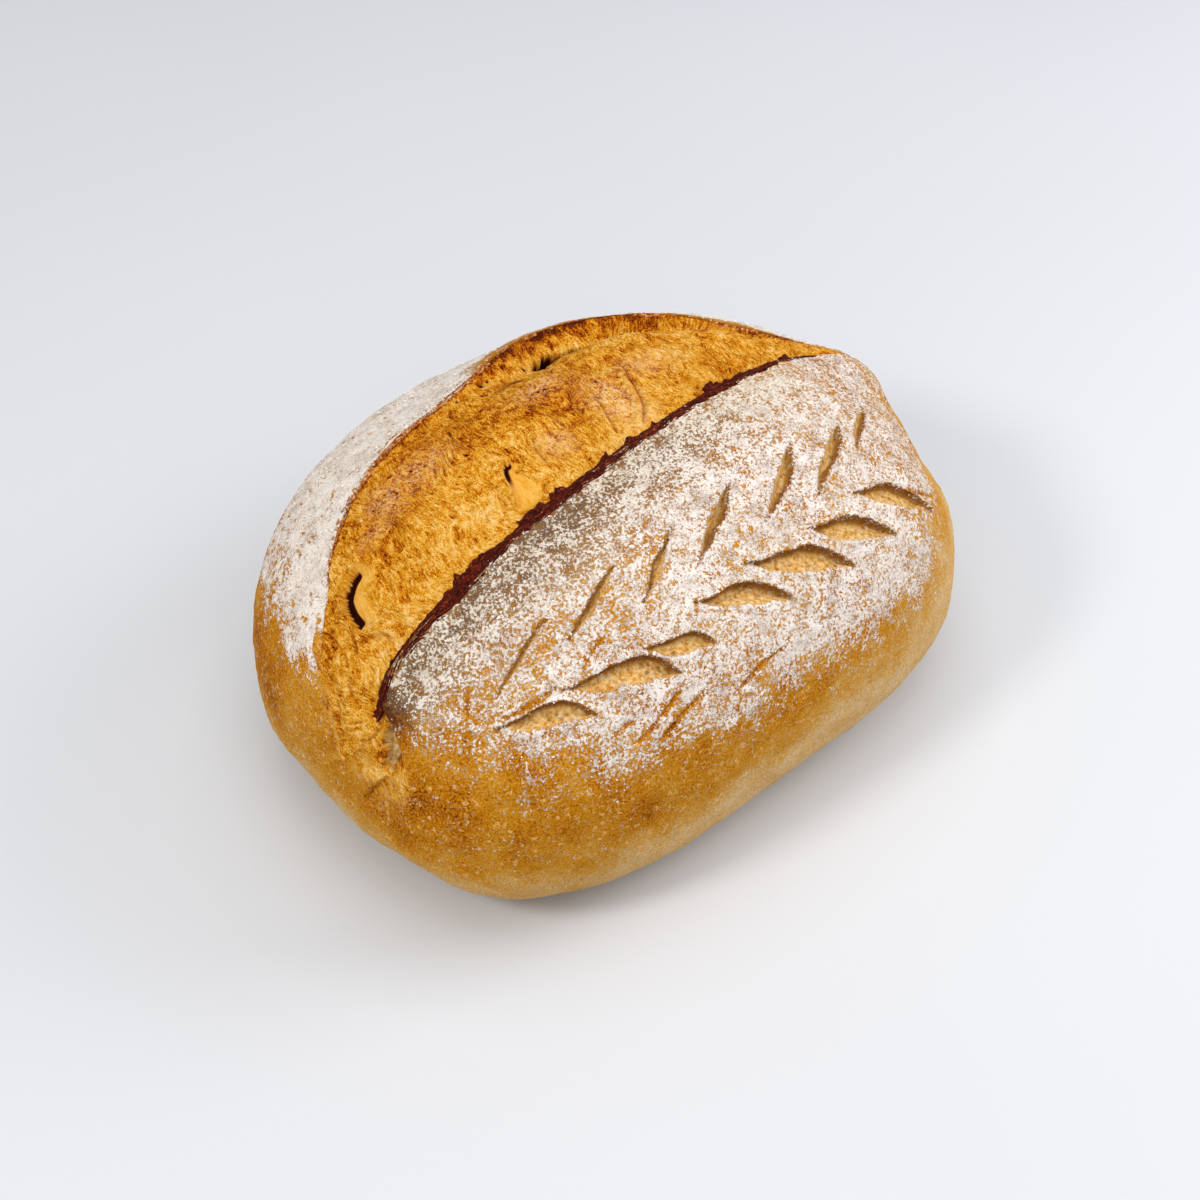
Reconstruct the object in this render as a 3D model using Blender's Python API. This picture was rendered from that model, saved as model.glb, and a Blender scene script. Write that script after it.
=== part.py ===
"""Sourdough loaf: an oval loaf that has burst open along one lengthwise score.

The loaf is one solid. Its skin is a UV sphere whose poles are the two tips, at +X and -X, so each of
its rings is a cross-section of the loaf. One pass reshapes every ring: flat foot, swollen sides, the
near flap that rises to a lifted edge (the ear), the risen dough that fills the opening, and the torn
lip on the far side. Spindle-shaped cutters then cut the stalk of leaf cuts into the near flap, the
hollows into the risen dough and the split into the left tip.

Station is the angle from the right tip (0) to the left tip (180). Turn is the angle round a
cross-section: -90 underneath, 0 at the near side (-Y), 90 at the top, 180 at the far side (+Y).
"""

import math

import bmesh
import bpy
import numpy as np
from mathutils import Matrix, Vector

# ---- driving dimensions, in metres and degrees ----
RIGHT_LENGTH = 0.127  # widest cross-section to right tip
LEFT_LENGTH = 0.122  # widest cross-section to left tip
NEAR_WIDTH = 0.0945
FAR_WIDTH = 0.096
HEIGHT = 0.118
BELT_HEIGHT = 0.045  # height of the loaf's widest line
FOOT_DIP = 0.008  # how far the round underside would reach below the table: this much is flat

# Bluntness of each outline, right half and left half: 2 is an ellipse, more is squarer.
NEAR_PLAN = (2.75, 3.15)
FAR_PLAN = (2.1, 2.3)
TOP_LINE = (2.3, 2.4)
FOOT_LINE = (2.9, 2.9)
UPPER_SECTION = 2.4
LOWER_SECTION = 2.9

# Hand-shaped unevenness: station, turn, reach along, reach round, height.
SWELLS = {
    "lifted corner of the flap": (27, 86, 13, 12, 0.0058),
    "hollow cheek at the right": (26, 40, 13, 22, -0.0036),
    "swollen foot at the right": (44, -8, 13, 15, 0.0024),
    "drawn-in foot at the front": (81, -21, 15, 15, -0.0018),
    "drawn-in foot at the left": (160, -50, 9, 26, -0.0034),
    "drawn-in foot at the left tip": (167, -112, 8, 30, -0.0022),
    "full far shoulder": (108, 145, 17, 13, 0.0015),
}

# The score: the turn of its two edges at each station, from right to left.
EAR_LINE = [(0, 90), (42, 88.5), (75, 85), (104, 81), (132, 77.5), (149, 72), (158, 64), (180, 52)]
LIP_LINE = [(0, 97), (42, 95), (52, 103), (63, 116), (80, 123), (97, 117), (115, 115), (134, 109),
            (146, 99), (153, 92), (163, 80), (180, 66)]
OPENING_RIGHT = (33, 58)  # stations where the score starts and where it is fully open
OPENING_LEFT = (166, 148)

EAR_LIFT = 0.0032  # the flap's edge stands this far proud
EAR_CURL = 45  # degrees of turn over which the flap lifts towards its edge
EAR_THICKNESS = 0.0036
CRACK_DEPTH = 0.0045  # the gap under the ear
DOUGH_GAP = 0.0012  # clear space between the ear's corner and the dough beside it
DOUGH_SWELL = 0.0020  # risen dough above the loaf's round outline, at mid-opening
LIP_LIFT = 0.0016
VALLEY_DEPTH = 0.0095  # torn valley along the far lip
VALLEY_SHARE = (0.80, 0.16)  # its place and half-width across the opening
VALLEY_STATION = (72, 24)  # its middle and half-length

# Spindle cuts: plan place of the middle, heading from +X, length, width, depth.
LEAF_CUTS = {
    "lower": [
        (-0.078, -0.066, -27, 0.042, 0.0125, 0.0034),
        (-0.046, -0.074, -18, 0.042, 0.0135, 0.0036),
        (-0.025, -0.076, -20, 0.027, 0.0080, 0.0026),
        (-0.003, -0.074, -18, 0.037, 0.0120, 0.0036),
        (0.024, -0.073, -19, 0.043, 0.0125, 0.0036),
        (0.051, -0.071, -17, 0.035, 0.0115, 0.0032),
        (0.076, -0.065, -11, 0.038, 0.0100, 0.0028),
    ],
    "upper": [
        (-0.073, -0.050, 13, 0.031, 0.0032, 0.0022),
        (-0.040, -0.049, 17, 0.024, 0.0036, 0.0026),
        (-0.020, -0.053, 31, 0.033, 0.0042, 0.0028),
        (0.005, -0.051, 31, 0.038, 0.0052, 0.0032),
        (0.035, -0.049, 33, 0.040, 0.0066, 0.0030),
        (0.058, -0.050, 34, 0.039, 0.0070, 0.0028),
        (0.083, -0.037, 35, 0.028, 0.0042, 0.0022),
    ],
}
HOLLOWS = {
    "slit at the left of the dough": (-0.099, 0.004, 72, 0.026, 0.0052, 0.0060),
    "blister near the ear": (-0.034, -0.002, 84, 0.024, 0.0080, 0.0034),
    "left cave": (-0.006, 0.040, 4, 0.024, 0.0052, 0.0050),
    "right cave": (0.026, 0.0375, -24, 0.030, 0.0056, 0.0050),
    "split at the left tip": (-0.1150, -0.034, 196, 0.034, 0.0075, 0.0065),
}
CUT_SHARPNESS = 0.75  # 1 is an ellipsoid, less has drawn-out points
CUTTER_SIDES = 14
CUTTER_RINGS = 7

RING_POINTS = {"foot": 9, "side": 8, "flap": 13, "dough": 14, "far": 16}  # besides the ear's own points
STATIONS = 50

CRUST_COLOUR = (0.50, 0.24, 0.06, 1.0)
CRUST_ROUGHNESS = 0.75


def smooth(share):
    """0 to 1 with level ends."""
    share = np.clip(share, 0.0, 1.0)
    return share * share * (3 - 2 * share)


def hump(distance):
    """1 at distance 0, about a third at distance 1 and nothing from 3 on."""
    return np.exp(-np.square(distance))


def curve_through(knots, at):
    """Values at `at` of a smooth curve through (position, value) knots."""
    place, value = np.array(knots, float).T
    slope = np.gradient(value, place)
    i = np.clip(np.searchsorted(place, at) - 1, 0, len(place) - 2)
    step = place[i + 1] - place[i]
    t = (at - place[i]) / step
    start = value[i] * (1 + 2 * t) + slope[i] * step * t
    end = value[i + 1] * (3 - 2 * t) - slope[i + 1] * step * (1 - t)
    return start * (1 - t) ** 2 + end * t**2


def blunt(along, powers):
    """Share of the full size left at this share of the length."""
    power = np.where(along >= 0, *powers)
    return np.clip(1 - np.abs(along) ** power, 0, 1) ** (1 / power)


def bowed(value, section):
    """Sine or cosine of a turn, squared off to a superellipse."""
    return np.sign(value) * np.abs(value) ** (2 / section)


def round_point(station, turn):
    """Points of the plain round loaf, with no score or swelling."""
    along = np.cos(np.radians(station))
    across, up = np.cos(np.radians(turn)), np.sin(np.radians(turn))
    x = along * np.where(along >= 0, RIGHT_LENGTH, LEFT_LENGTH) + 0 * turn
    side = np.where(across >= 0, NEAR_WIDTH * blunt(along, NEAR_PLAN), FAR_WIDTH * blunt(along, FAR_PLAN))
    above = BELT_HEIGHT + (HEIGHT - BELT_HEIGHT) * blunt(along, TOP_LINE) * bowed(up, UPPER_SECTION)
    below = BELT_HEIGHT + (BELT_HEIGHT + FOOT_DIP) * blunt(along, FOOT_LINE) * bowed(up, LOWER_SECTION)
    y = -side * np.where(up >= 0, bowed(across, UPPER_SECTION), bowed(across, LOWER_SECTION))
    return np.stack([x, y, np.where(up >= 0, above, below)], axis=-1)


def outward(surface, station, turn):
    """Unit vectors of a surface: round it, and out of it."""
    step = 0.5
    along = surface(np.clip(station + step, 1, 179), turn) - surface(np.clip(station - step, 1, 179), turn)
    across = surface(station, turn + step) - surface(station, turn - step)
    out = np.cross(across, along)
    return tuple(v / np.linalg.norm(v, axis=-1, keepdims=True) for v in (across, out))


def skin_point(station, turn):
    """Points of the loaf's skin with its uneven swelling."""
    height = 0.0
    for s, t, along, round_, rise in SWELLS.values():
        turned = (turn - t + 180) % 360 - 180
        height = height + rise * hump((station - s) / along) * hump(turned / round_)
    out = outward(round_point, station, turn)[1]
    return round_point(station, turn) + out * np.expand_dims(height, -1)


def opening_share(station):
    """0 where the score is closed, 1 where it is fully open."""
    (r0, r1), (l0, l1) = OPENING_RIGHT, OPENING_LEFT
    return smooth((station - r0) / (r1 - r0)) * smooth((station - l0) / (l1 - l0))


def dough_lift(station, share):
    """Height of the risen dough over the skin; share runs from the ear (0) to the far lip (1)."""
    place, width = VALLEY_SHARE
    middle, reach = VALLEY_STATION
    swell = DOUGH_SWELL * np.sin(np.pi * share)
    crack = CRACK_DEPTH * hump(share / 0.08)
    valley = VALLEY_DEPTH * hump((share - place) / width) * hump((station - middle) / reach)
    lip = (LIP_LIFT + valley) * smooth((share - 0.92) / 0.08)
    return swell - crack - valley + lip


def ring(station):
    """One cross-section, from underneath round the near side, over the top and back down."""
    openness = opening_share(station)
    ear = curve_through(EAR_LINE, station)
    lip = curve_through(LIP_LINE, station)
    count = RING_POINTS
    span = float(np.linalg.norm(skin_point(float(station), lip) - skin_point(float(station), ear)))
    thick = min(EAR_THICKNESS * (0.15 + 0.85 * openness), 0.2 * span)
    dough_start = min(0.35, (1.1 * thick + DOUGH_GAP) / span)
    turns = [np.linspace(-90, 0, count["foot"], endpoint=False)]
    turns.append(np.linspace(0, ear - EAR_CURL, count["side"], endpoint=False))
    lifts = [np.zeros(count["foot"] + count["side"])]
    flap = np.linspace(0, 1, count["flap"], endpoint=False)
    turns.append(ear - EAR_CURL * (1 - flap))
    lifts.append(EAR_LIFT * smooth(flap) ** 2)
    # The ear: crown, outer corner, underside and the crack below it.
    turns.append(np.full(5, ear))
    lifts.append(np.array([EAR_LIFT, EAR_LIFT * 0.9, EAR_LIFT * 0.4, -0.4 * CRACK_DEPTH, -CRACK_DEPTH]))
    dough = np.linspace(dough_start, 1, count["dough"], endpoint=False)
    turns.append(ear + (lip - ear) * dough)
    lifts.append(dough_lift(station, dough))
    far = np.linspace(lip, 270, count["far"], endpoint=False)
    turns.append(far)
    lifts.append(LIP_LIFT * hump((far - lip) / 7))
    turns, lifts = np.concatenate(turns), np.concatenate(lifts) * openness
    shifts = np.zeros(len(turns))
    start = count["foot"] + count["side"] + count["flap"]
    shifts[start : start + 5] = thick * np.array([0.0, 0.6, 1.0, 1.05, 1.1])
    across, out = outward(skin_point, np.full(len(turns), float(station)), turns)
    points = skin_point(np.full(len(turns), float(station)), turns)
    points = points + out * lifts[:, None] + across * shifts[:, None]
    points[:, 2] = np.maximum(points[:, 2], 0.0)
    return points


def finish_mesh(bm, name):
    """The reshaped sphere as an object with its faces pointing outwards."""
    if bm.calc_volume(signed=True) < 0:
        bmesh.ops.reverse_faces(bm, faces=bm.faces)
    mesh = bpy.data.meshes.new(name)
    bm.to_mesh(mesh)
    bm.free()
    obj = bpy.data.objects.new(name, mesh)
    bpy.context.scene.collection.objects.link(obj)
    return obj


def make_skin():
    """A UV sphere, laid along X, with each ring moved onto the loaf."""
    bm = bmesh.new()
    around = len(ring(90.0))
    bmesh.ops.create_uvsphere(bm, u_segments=around, v_segments=STATIONS, radius=1.0)
    rings = [ring(180.0 * i / STATIONS) for i in range(1, STATIONS)]
    tips = {0: RIGHT_LENGTH, STATIONS: -LEFT_LENGTH}
    for vert in bm.verts:
        step = round(math.acos(max(-1.0, min(1.0, vert.co.z))) / math.pi * STATIONS)
        index = round(math.atan2(vert.co.y, vert.co.x) / math.tau * around) % around
        vert.co = (tips[step], 0.0, BELT_HEIGHT) if step in tips else rings[step - 1][index]
    return finish_mesh(bm, "loaf")


def station_and_turn(x, y):
    """Where the plan point (x, y) lies on the upper skin."""
    along = x / (RIGHT_LENGTH if x >= 0 else LEFT_LENGTH)
    width, plan = (NEAR_WIDTH, NEAR_PLAN) if y < 0 else (FAR_WIDTH, FAR_PLAN)
    share = min(1.0, abs(y) / (width * float(blunt(along, plan))))
    lean = math.degrees(math.acos(share ** (UPPER_SECTION / 2)))
    return math.degrees(math.acos(along)), lean if y < 0 else 180 - lean


def make_cutter(name, x, y, heading, length, width, depth):
    """A spindle lying in the skin at the plan point (x, y)."""
    station, turn = (np.array(v) for v in station_and_turn(x, y))
    out = Vector(outward(skin_point, station, turn)[1])
    centre = Vector(skin_point(station, turn))
    ear, lip = curve_through(EAR_LINE, station), curve_through(LIP_LINE, station)
    if ear < turn < lip:
        centre += out * float(dough_lift(station, (turn - ear) / (lip - ear)) * opening_share(station))
    forward = Vector((math.cos(math.radians(heading)), math.sin(math.radians(heading)), 0.0))
    forward = (forward - out * forward.dot(out)).normalized()
    frame = Matrix((forward, out.cross(forward), out)).transposed().to_4x4()
    bm = bmesh.new()
    bmesh.ops.create_uvsphere(bm, u_segments=CUTTER_SIDES, v_segments=CUTTER_RINGS, radius=1.0)
    for vert in bm.verts:
        # The sphere's poles become the spindle's two points.
        end = vert.co.z
        narrow = max(0.0, 1 - end * end) ** (1 / CUT_SHARPNESS - 0.5)
        girth = math.hypot(vert.co.x, vert.co.y) or 1.0
        vert.co = (end * length / 2, -vert.co.x / girth * narrow * width / 2, vert.co.y / girth * narrow * depth)
    cutter = finish_mesh(bm, name)
    cutter.matrix_world = Matrix.Translation(centre) @ frame
    cutter.hide_render = True
    cutter.display_type = "WIRE"
    return cutter


def centre_over_origin(objects, loaf):
    """Moves everything so that the loaf's box is centred over the origin in plan."""
    corners = np.array([vert.co for vert in loaf.data.vertices])
    middle = (corners.min(axis=0) + corners.max(axis=0)) / 2
    for obj in objects:
        obj.matrix_world = Matrix.Translation((-middle[0], -middle[1], 0.0)) @ obj.matrix_world


def cut(loaf, cutter):
    modifier = loaf.modifiers.new(cutter.name, "BOOLEAN")
    modifier.operation = "DIFFERENCE"
    modifier.solver = "EXACT"
    modifier.object = cutter


def bread_material():
    material = bpy.data.materials.new("crust")
    material.use_nodes = True
    shader = material.node_tree.nodes["Principled BSDF"]
    shader.inputs["Base Color"].default_value = CRUST_COLOUR
    shader.inputs["Roughness"].default_value = CRUST_ROUGHNESS
    shader.inputs["Metallic"].default_value = 0.0
    return material


def main():
    for obj in list(bpy.data.objects):
        bpy.data.objects.remove(obj)
    loaf = make_skin()
    loaf.data.materials.append(bread_material())
    cutters = [make_cutter(name, *values) for name, values in HOLLOWS.items()]
    for row, cuts in LEAF_CUTS.items():
        cutters += [make_cutter(f"{row} leaf cut {i}", *values) for i, values in enumerate(cuts, 1)]
    centre_over_origin([loaf, *cutters], loaf)
    for cutter in cutters:
        cut(loaf, cutter)


main()
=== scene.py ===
import math

import bpy
import numpy as np
from mathutils import Matrix, Vector


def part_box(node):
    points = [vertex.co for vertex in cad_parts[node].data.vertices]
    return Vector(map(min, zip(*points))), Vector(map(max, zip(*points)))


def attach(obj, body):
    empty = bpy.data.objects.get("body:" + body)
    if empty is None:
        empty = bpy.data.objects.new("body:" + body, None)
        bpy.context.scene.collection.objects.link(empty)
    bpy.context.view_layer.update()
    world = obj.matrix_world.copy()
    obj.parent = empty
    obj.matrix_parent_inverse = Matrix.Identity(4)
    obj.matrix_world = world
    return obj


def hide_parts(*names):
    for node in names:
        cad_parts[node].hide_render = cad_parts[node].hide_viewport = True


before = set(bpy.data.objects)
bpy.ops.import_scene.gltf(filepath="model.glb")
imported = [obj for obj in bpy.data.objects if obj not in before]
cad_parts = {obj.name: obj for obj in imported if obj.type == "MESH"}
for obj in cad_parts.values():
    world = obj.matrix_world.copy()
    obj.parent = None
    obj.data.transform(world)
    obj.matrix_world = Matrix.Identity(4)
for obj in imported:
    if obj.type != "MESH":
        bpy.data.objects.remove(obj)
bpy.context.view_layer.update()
mm = 0.001
low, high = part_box("loaf")
size = high - low
print("frame loaded, loaf box in mm:", [round(v / mm, 1) for v in size])


# The loaf's form. Station is the angle from the right tip (0) to the left tip (180).
# Turn is the angle round a cross-section: -90 underneath, 0 near side, 90 top, 180 far side.
loafForm = {
    "rightLength": 0.5100 * size.x,  # widest cross-section to right tip
    "leftLength": 0.4900 * size.x,
    "nearWidth": 0.4969 * size.y,
    "farWidth": 0.5047 * size.y,
    "height": 0.9773 * size.z,
    "beltHeight": 0.3727 * size.z,
    "footDip": 0.0663 * size.z,
    "middle": (low.x + 0.4900 * size.x, low.y + 0.4962 * size.y),
    "nearPlan": (2.75, 3.15),  # bluntness, right and left: 2 is an ellipse, more is squarer
    "farPlan": (2.1, 2.3),
    "topLine": (2.3, 2.4),
    "footLine": (2.9, 2.9),
    "upperSection": 2.4,
    "lowerSection": 2.9,
    "swells": [  # station, turn, reach along, reach round, height in mm
        (27, 86, 13, 12, 5.8),  # lifted corner of the flap
        (26, 40, 13, 22, -3.6),  # hollow cheek at the right
        (44, -8, 13, 15, 2.4),
        (81, -21, 15, 15, -1.8),
        (160, -50, 9, 26, -3.4),
        (167, -112, 8, 30, -2.2),
        (108, 145, 17, 13, 1.5),
    ],
    "earLine": [(0, 90), (42, 88.4), (61, 86.1), (76, 84.2), (95, 81.5), (113, 79.3), (132, 76.2),
                (149, 71.4), (158, 66), (166, 62.5), (180, 58)],
    "lipLine": [(0, 97), (40, 94.5), (47, 99), (53, 105.5), (58, 113.5), (65, 121.5), (71, 126.5), (78, 128.5),
                (85, 126), (92, 121.5), (99, 117.5), (115, 115), (126, 112), (134, 108.3), (142, 102.3),
                (149, 95.8), (157, 89), (163, 80), (180, 66)],
    "openingRight": (30, 50),  # stations where the score starts and where it is fully open
    "openingLeft": (170, 160),
    "earRight": (34, 58),
    "earLeft": (158, 147),
    "earLift": 3.2 * mm,
    "earCurl": 45,
    "lipLift": 1.6 * mm,
    "doughSwell": 2.0 * mm,
    "valleyDepth": 9.0 * mm,
    "valleyShare": (0.79, 0.14),
    "valleyStation": (71, 22),
}
f = loafForm


def smooth(value, start=0.0, end=1.0):
    share = np.clip((value - start) / (end - start), 0.0, 1.0)
    return share * share * (3 - 2 * share)


def hump(distance):
    return np.exp(-np.square(distance))


def curveThrough(knots, at):
    place, value = np.array(knots, float).T
    slope = np.gradient(value, place)
    i = np.clip(np.searchsorted(place, at) - 1, 0, len(place) - 2)
    step = place[i + 1] - place[i]
    t = np.clip((at - place[i]) / step, 0.0, 1.0)
    start = value[i] * (1 + 2 * t) + slope[i] * step * t
    end = value[i + 1] * (3 - 2 * t) - slope[i + 1] * step * (1 - t)
    return start * (1 - t) ** 2 + end * t**2


def blunt(along, powers):
    power = np.where(along >= 0, *powers)
    return np.clip(1 - np.abs(along) ** power, 0, 1) ** (1 / power)


def bowed(value, section):
    return np.sign(value) * np.abs(value) ** (2 / section)


def roundPoint(station, turn):
    station, turn = np.broadcast_arrays(station, turn)
    along = np.cos(np.radians(station))
    across, up = np.cos(np.radians(turn)), np.sin(np.radians(turn))
    x = f["middle"][0] + along * np.where(along >= 0, f["rightLength"], f["leftLength"])
    side = np.where(across >= 0, f["nearWidth"] * blunt(along, f["nearPlan"]),
                    f["farWidth"] * blunt(along, f["farPlan"]))
    above = (f["height"] - f["beltHeight"]) * blunt(along, f["topLine"]) * bowed(up, f["upperSection"])
    below = (f["beltHeight"] + f["footDip"]) * blunt(along, f["footLine"]) * bowed(up, f["lowerSection"])
    y = f["middle"][1] - side * np.where(up >= 0, bowed(across, f["upperSection"]),
                                         bowed(across, f["lowerSection"]))
    return np.stack([x, y, f["beltHeight"] + np.where(up >= 0, above, below)], axis=-1)


def unit(vectors):
    return vectors / (np.linalg.norm(vectors, axis=-1, keepdims=True) + 1e-12)


def outward(surface, station, turn):
    step = 0.5
    along = surface(np.clip(station + step, 1, 179), turn) - surface(np.clip(station - step, 1, 179), turn)
    across = surface(station, turn + step) - surface(station, turn - step)
    return unit(across), unit(np.cross(across, along))


def skinPoint(station, turn):
    station, turn = np.broadcast_arrays(station, turn)
    height = np.zeros(station.shape)
    for place, round_, along, reach, rise in f["swells"]:
        turned = (turn - round_ + 180) % 360 - 180
        height = height + rise * mm * hump((station - place) / along) * hump(turned / reach)
    return roundPoint(station, turn) + outward(roundPoint, station, turn)[1] * height[..., None]


def between(station, right, left):
    return smooth(station, *right) * smooth(-station, -left[0], -left[1])


def earTurn(station):
    return curveThrough(f["earLine"], station)


def lipTurn(station):
    closing = smooth(station, 27, 36) * smooth(-station, -173, -164)
    return earTurn(station) + (curveThrough(f["lipLine"], station) - earTurn(station)) * closing


def bandWidth(station):  # width of the singed band along the ear
    knots = [(0, 0), (40, 0.7), (48, 1.8), (58, 3.2), (70, 4.4), (88, 5.0), (108, 5.2), (134, 5.5), (148, 4.8),
             (154, 3.2), (159, 0.4), (180, 0)]
    return np.maximum(curveThrough(knots, station), 0.0) * mm


def flapLift(station, turn):
    share = smooth(turn, earTurn(station) - f["earCurl"], earTurn(station)) ** 2
    return f["earLift"] * share * between(station, f["earRight"], f["earLeft"])


def doughLift(station, share):
    place, width = f["valleyShare"]
    middle, reach = f["valleyStation"]
    open_ = between(station, f["openingRight"], f["openingLeft"])
    bulge = f["doughSwell"] * np.sin(np.pi * np.clip(share, 0, 1)) + 1.3 * mm * hump(share / 0.2)
    valley = f["valleyDepth"] * hump((share - place) / width) * hump((station - middle) / reach)
    wall = (f["lipLift"] + valley) * smooth(share, 0.90, 1.0) * hump((station - middle) / (1.5 * reach))
    return (bulge - valley + wall) * open_


def lifted(station, turn, lift, shift=0.0):
    across, out = outward(skinPoint, station, turn)
    return skinPoint(station, turn) + out * np.expand_dims(lift, -1) + across * np.expand_dims(shift, -1)


def flapPoint(station, turn):
    return lifted(station, turn, flapLift(station, turn))


def doughPoint(station, turn):
    share = (turn - earTurn(station)) / np.maximum(lipTurn(station) - earTurn(station), 1e-3)
    return lifted(station, turn, doughLift(station, share))


# Random patterns, the same on every run
def cellRandom(cell, seed):
    c = cell.astype(np.int64).astype(np.uint64)
    h = c[..., 0] * np.uint64(73856093) ^ c[..., 1] * np.uint64(19349663) ^ c[..., 2] * np.uint64(83492791)
    h = (h ^ np.uint64(seed * 2654435761 % 2**40)) * np.uint64(0x9E3779B97F4A7C15)
    h = (h ^ (h >> np.uint64(29))) * np.uint64(0xBF58476D1CE4E5B9)
    return (h >> np.uint64(40)).astype(float) / 2.0**24


def noise(points, cellSize, seed):
    p = points / cellSize + 400.0
    cell = np.floor(p)
    part = p - cell
    weight = part**3 * (part * (part * 6 - 15) + 10)
    total = np.zeros(points.shape[:-1])
    for corner in np.ndindex(2, 2, 2):
        share = np.prod(np.where(np.array(corner), weight, 1 - weight), axis=-1)
        total += share * cellRandom(cell + np.array(corner), seed)
    return total * 2 - 1


def lumps(points, cellSize, seed, layers=3, gain=0.55):
    total, amount = 0.0, 0.0
    for layer in range(layers):
        total = total + gain**layer * noise(points, cellSize * 0.5**layer, seed + 31 * layer)
        amount += gain**layer
    return total / amount * 1.6


def blisters(points, cellSize, seed, share):
    p = points / cellSize + 400.0
    cell = np.floor(p)
    best = np.zeros(points.shape[:-1])
    for offset in np.ndindex(3, 3, 3):
        c = cell + np.array(offset) - 1
        centre = c + np.stack([cellRandom(c, seed + k) for k in range(3)], axis=-1)
        radius = 0.22 + 0.28 * cellRandom(c, seed + 3)
        dome = np.clip(1 - np.sum((p - centre) ** 2, axis=-1) / radius**2, 0, 1)
        best = np.maximum(best, dome * (cellRandom(c, seed + 4) < share))
    return best


# Distance to a line drawn on the surface, the share along it, and the side (+ is left of its direction)
def lineField(points, surface, knots, reach):
    knots = np.array(knots, float)
    order = np.arange(len(knots))
    fine = np.linspace(0, len(knots) - 1, 6 * (len(knots) - 1) + 1)
    station, turn = (curveThrough(list(zip(order, knots[:, k])), fine) for k in range(2))
    line = surface(station, turn)
    out = outward(surface, station, turn)[1]
    distance = np.full(points.shape[:-1], 1.0)
    share = np.zeros(points.shape[:-1])
    side = np.zeros(points.shape[:-1])
    chosen = np.all((points > line.min(0) - reach) & (points < line.max(0) + reach), axis=-1)
    p = points[chosen]
    best, bestShare, bestSide = np.full(len(p), 1.0), np.zeros(len(p)), np.zeros(len(p))
    for i in range(len(line) - 1):
        a, b = line[i], line[i + 1]
        t = np.clip((p - a) @ (b - a) / max(np.dot(b - a, b - a), 1e-12), 0, 1)
        delta = p - a - t[:, None] * (b - a)
        delta = delta - (delta @ out[i])[:, None] * out[i] * 0.8
        d = np.linalg.norm(delta, axis=1)
        nearer = d < best
        best = np.where(nearer, d, best)
        bestShare = np.where(nearer, (i + t) / (len(line) - 1), bestShare)
        bestSide = np.where(nearer, np.sign(np.cross(b - a, delta) @ out[i]), bestSide)
    distance[chosen], share[chosen], side[chosen] = best, bestShare, bestSide
    return distance, share, side


def ends(share, fade=0.2):
    return smooth(share, 0.0, fade) * smooth(-share, -1.0, fade - 1.0)


# A ledge: the surface drops on one side of the line and comes back over `reach`
def ledge(points, surface, knots, depth, reach, side=-1, wall=0.5 * mm, rim=0.0):
    distance, share, where = lineField(points, surface, knots, 3 * reach)
    drop = (where == side) * smooth(distance, 0, wall) * hump(distance / reach) * ends(share)
    raised = (where != side) * hump(distance / (2.5 * wall)) * ends(share) * (distance < 0.9)
    return rim * raised - depth * drop, drop, share


# A pocket with ragged steep walls and a nearly flat floor
def trench(points, surface, knots, depth, halfWidth, wall=0.7 * mm, ragged=0.5 * mm):
    distance, share, where = lineField(points, surface, knots, 3 * halfWidth)
    distance = distance + ragged * noise(points, 2.2 * mm, 171) + 1.2 * mm * (1 - ends(share, 0.12))
    inside = smooth(-distance, -halfWidth - 0.5 * wall, -halfWidth + 0.5 * wall)
    return -depth * inside, inside, where * distance / halfWidth


# Parallel wrinkles that run along a line
def wrinkles(points, surface, knots, height, spacing, reach):
    distance, share, where = lineField(points, surface, knots, 2.5 * reach)
    wave = np.cos(2 * np.pi * where * distance / spacing + 3 * noise(points, 7 * mm, 173))
    return height * wave * hump(distance / reach) * ends(share) * (distance < 0.9)


def groove(points, surface, knots, depth, width):
    distance, share, where = lineField(points, surface, knots, 4 * width)
    cut = hump(distance / width) * ends(share)
    return -depth * cut, cut


def pit(points, surface, station, turn, depth, reach, seed):
    centre = surface(np.array(float(station)), np.array(float(turn)))
    wobble = 1 + 0.35 * noise(points, reach, seed)
    return hump((np.linalg.norm(points - centre, axis=-1) / (reach * wobble)) ** 2) * depth


def evenStations(count, first, last, turn, closer=None):
    fine = np.linspace(first, last, 3000)
    steps = np.linalg.norm(np.diff(roundPoint(fine, np.full(3000, float(turn))), axis=0), axis=1)
    if closer:
        steps = steps * (1 + closer[2] * smooth(fine[1:], closer[0] - 8, closer[0])
                         * smooth(-fine[1:], -closer[1] - 8, -closer[1]))
    length = np.concatenate([[0], np.cumsum(steps)])
    return np.interp(np.linspace(0, length[-1], count + 1), length, fine)


def evenTurns(stations, first, last, count, closer=None):
    share = np.linspace(0, 1, 160)
    turns = first[:, None] + (last - first)[:, None] * share
    points = roundPoint(stations[:, None], turns)
    steps = np.linalg.norm(np.diff(points, axis=1), axis=2) + 1e-7
    if closer:
        steps = steps * (1 + closer[2] * smooth(turns[:, 1:], closer[0], closer[1]))
    length = np.concatenate([np.zeros((len(turns), 1)), np.cumsum(steps, axis=1)], axis=1)
    wanted = np.arange(count) / count
    return np.array([np.interp(wanted * row[-1], row, turn) for row, turn in zip(length, turns)])


def gridNormals(grid):
    along = np.gradient(grid, axis=0)
    round_ = np.roll(grid, -1, axis=1) - np.roll(grid, 1, axis=1)
    return unit(np.cross(round_, along))


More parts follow.
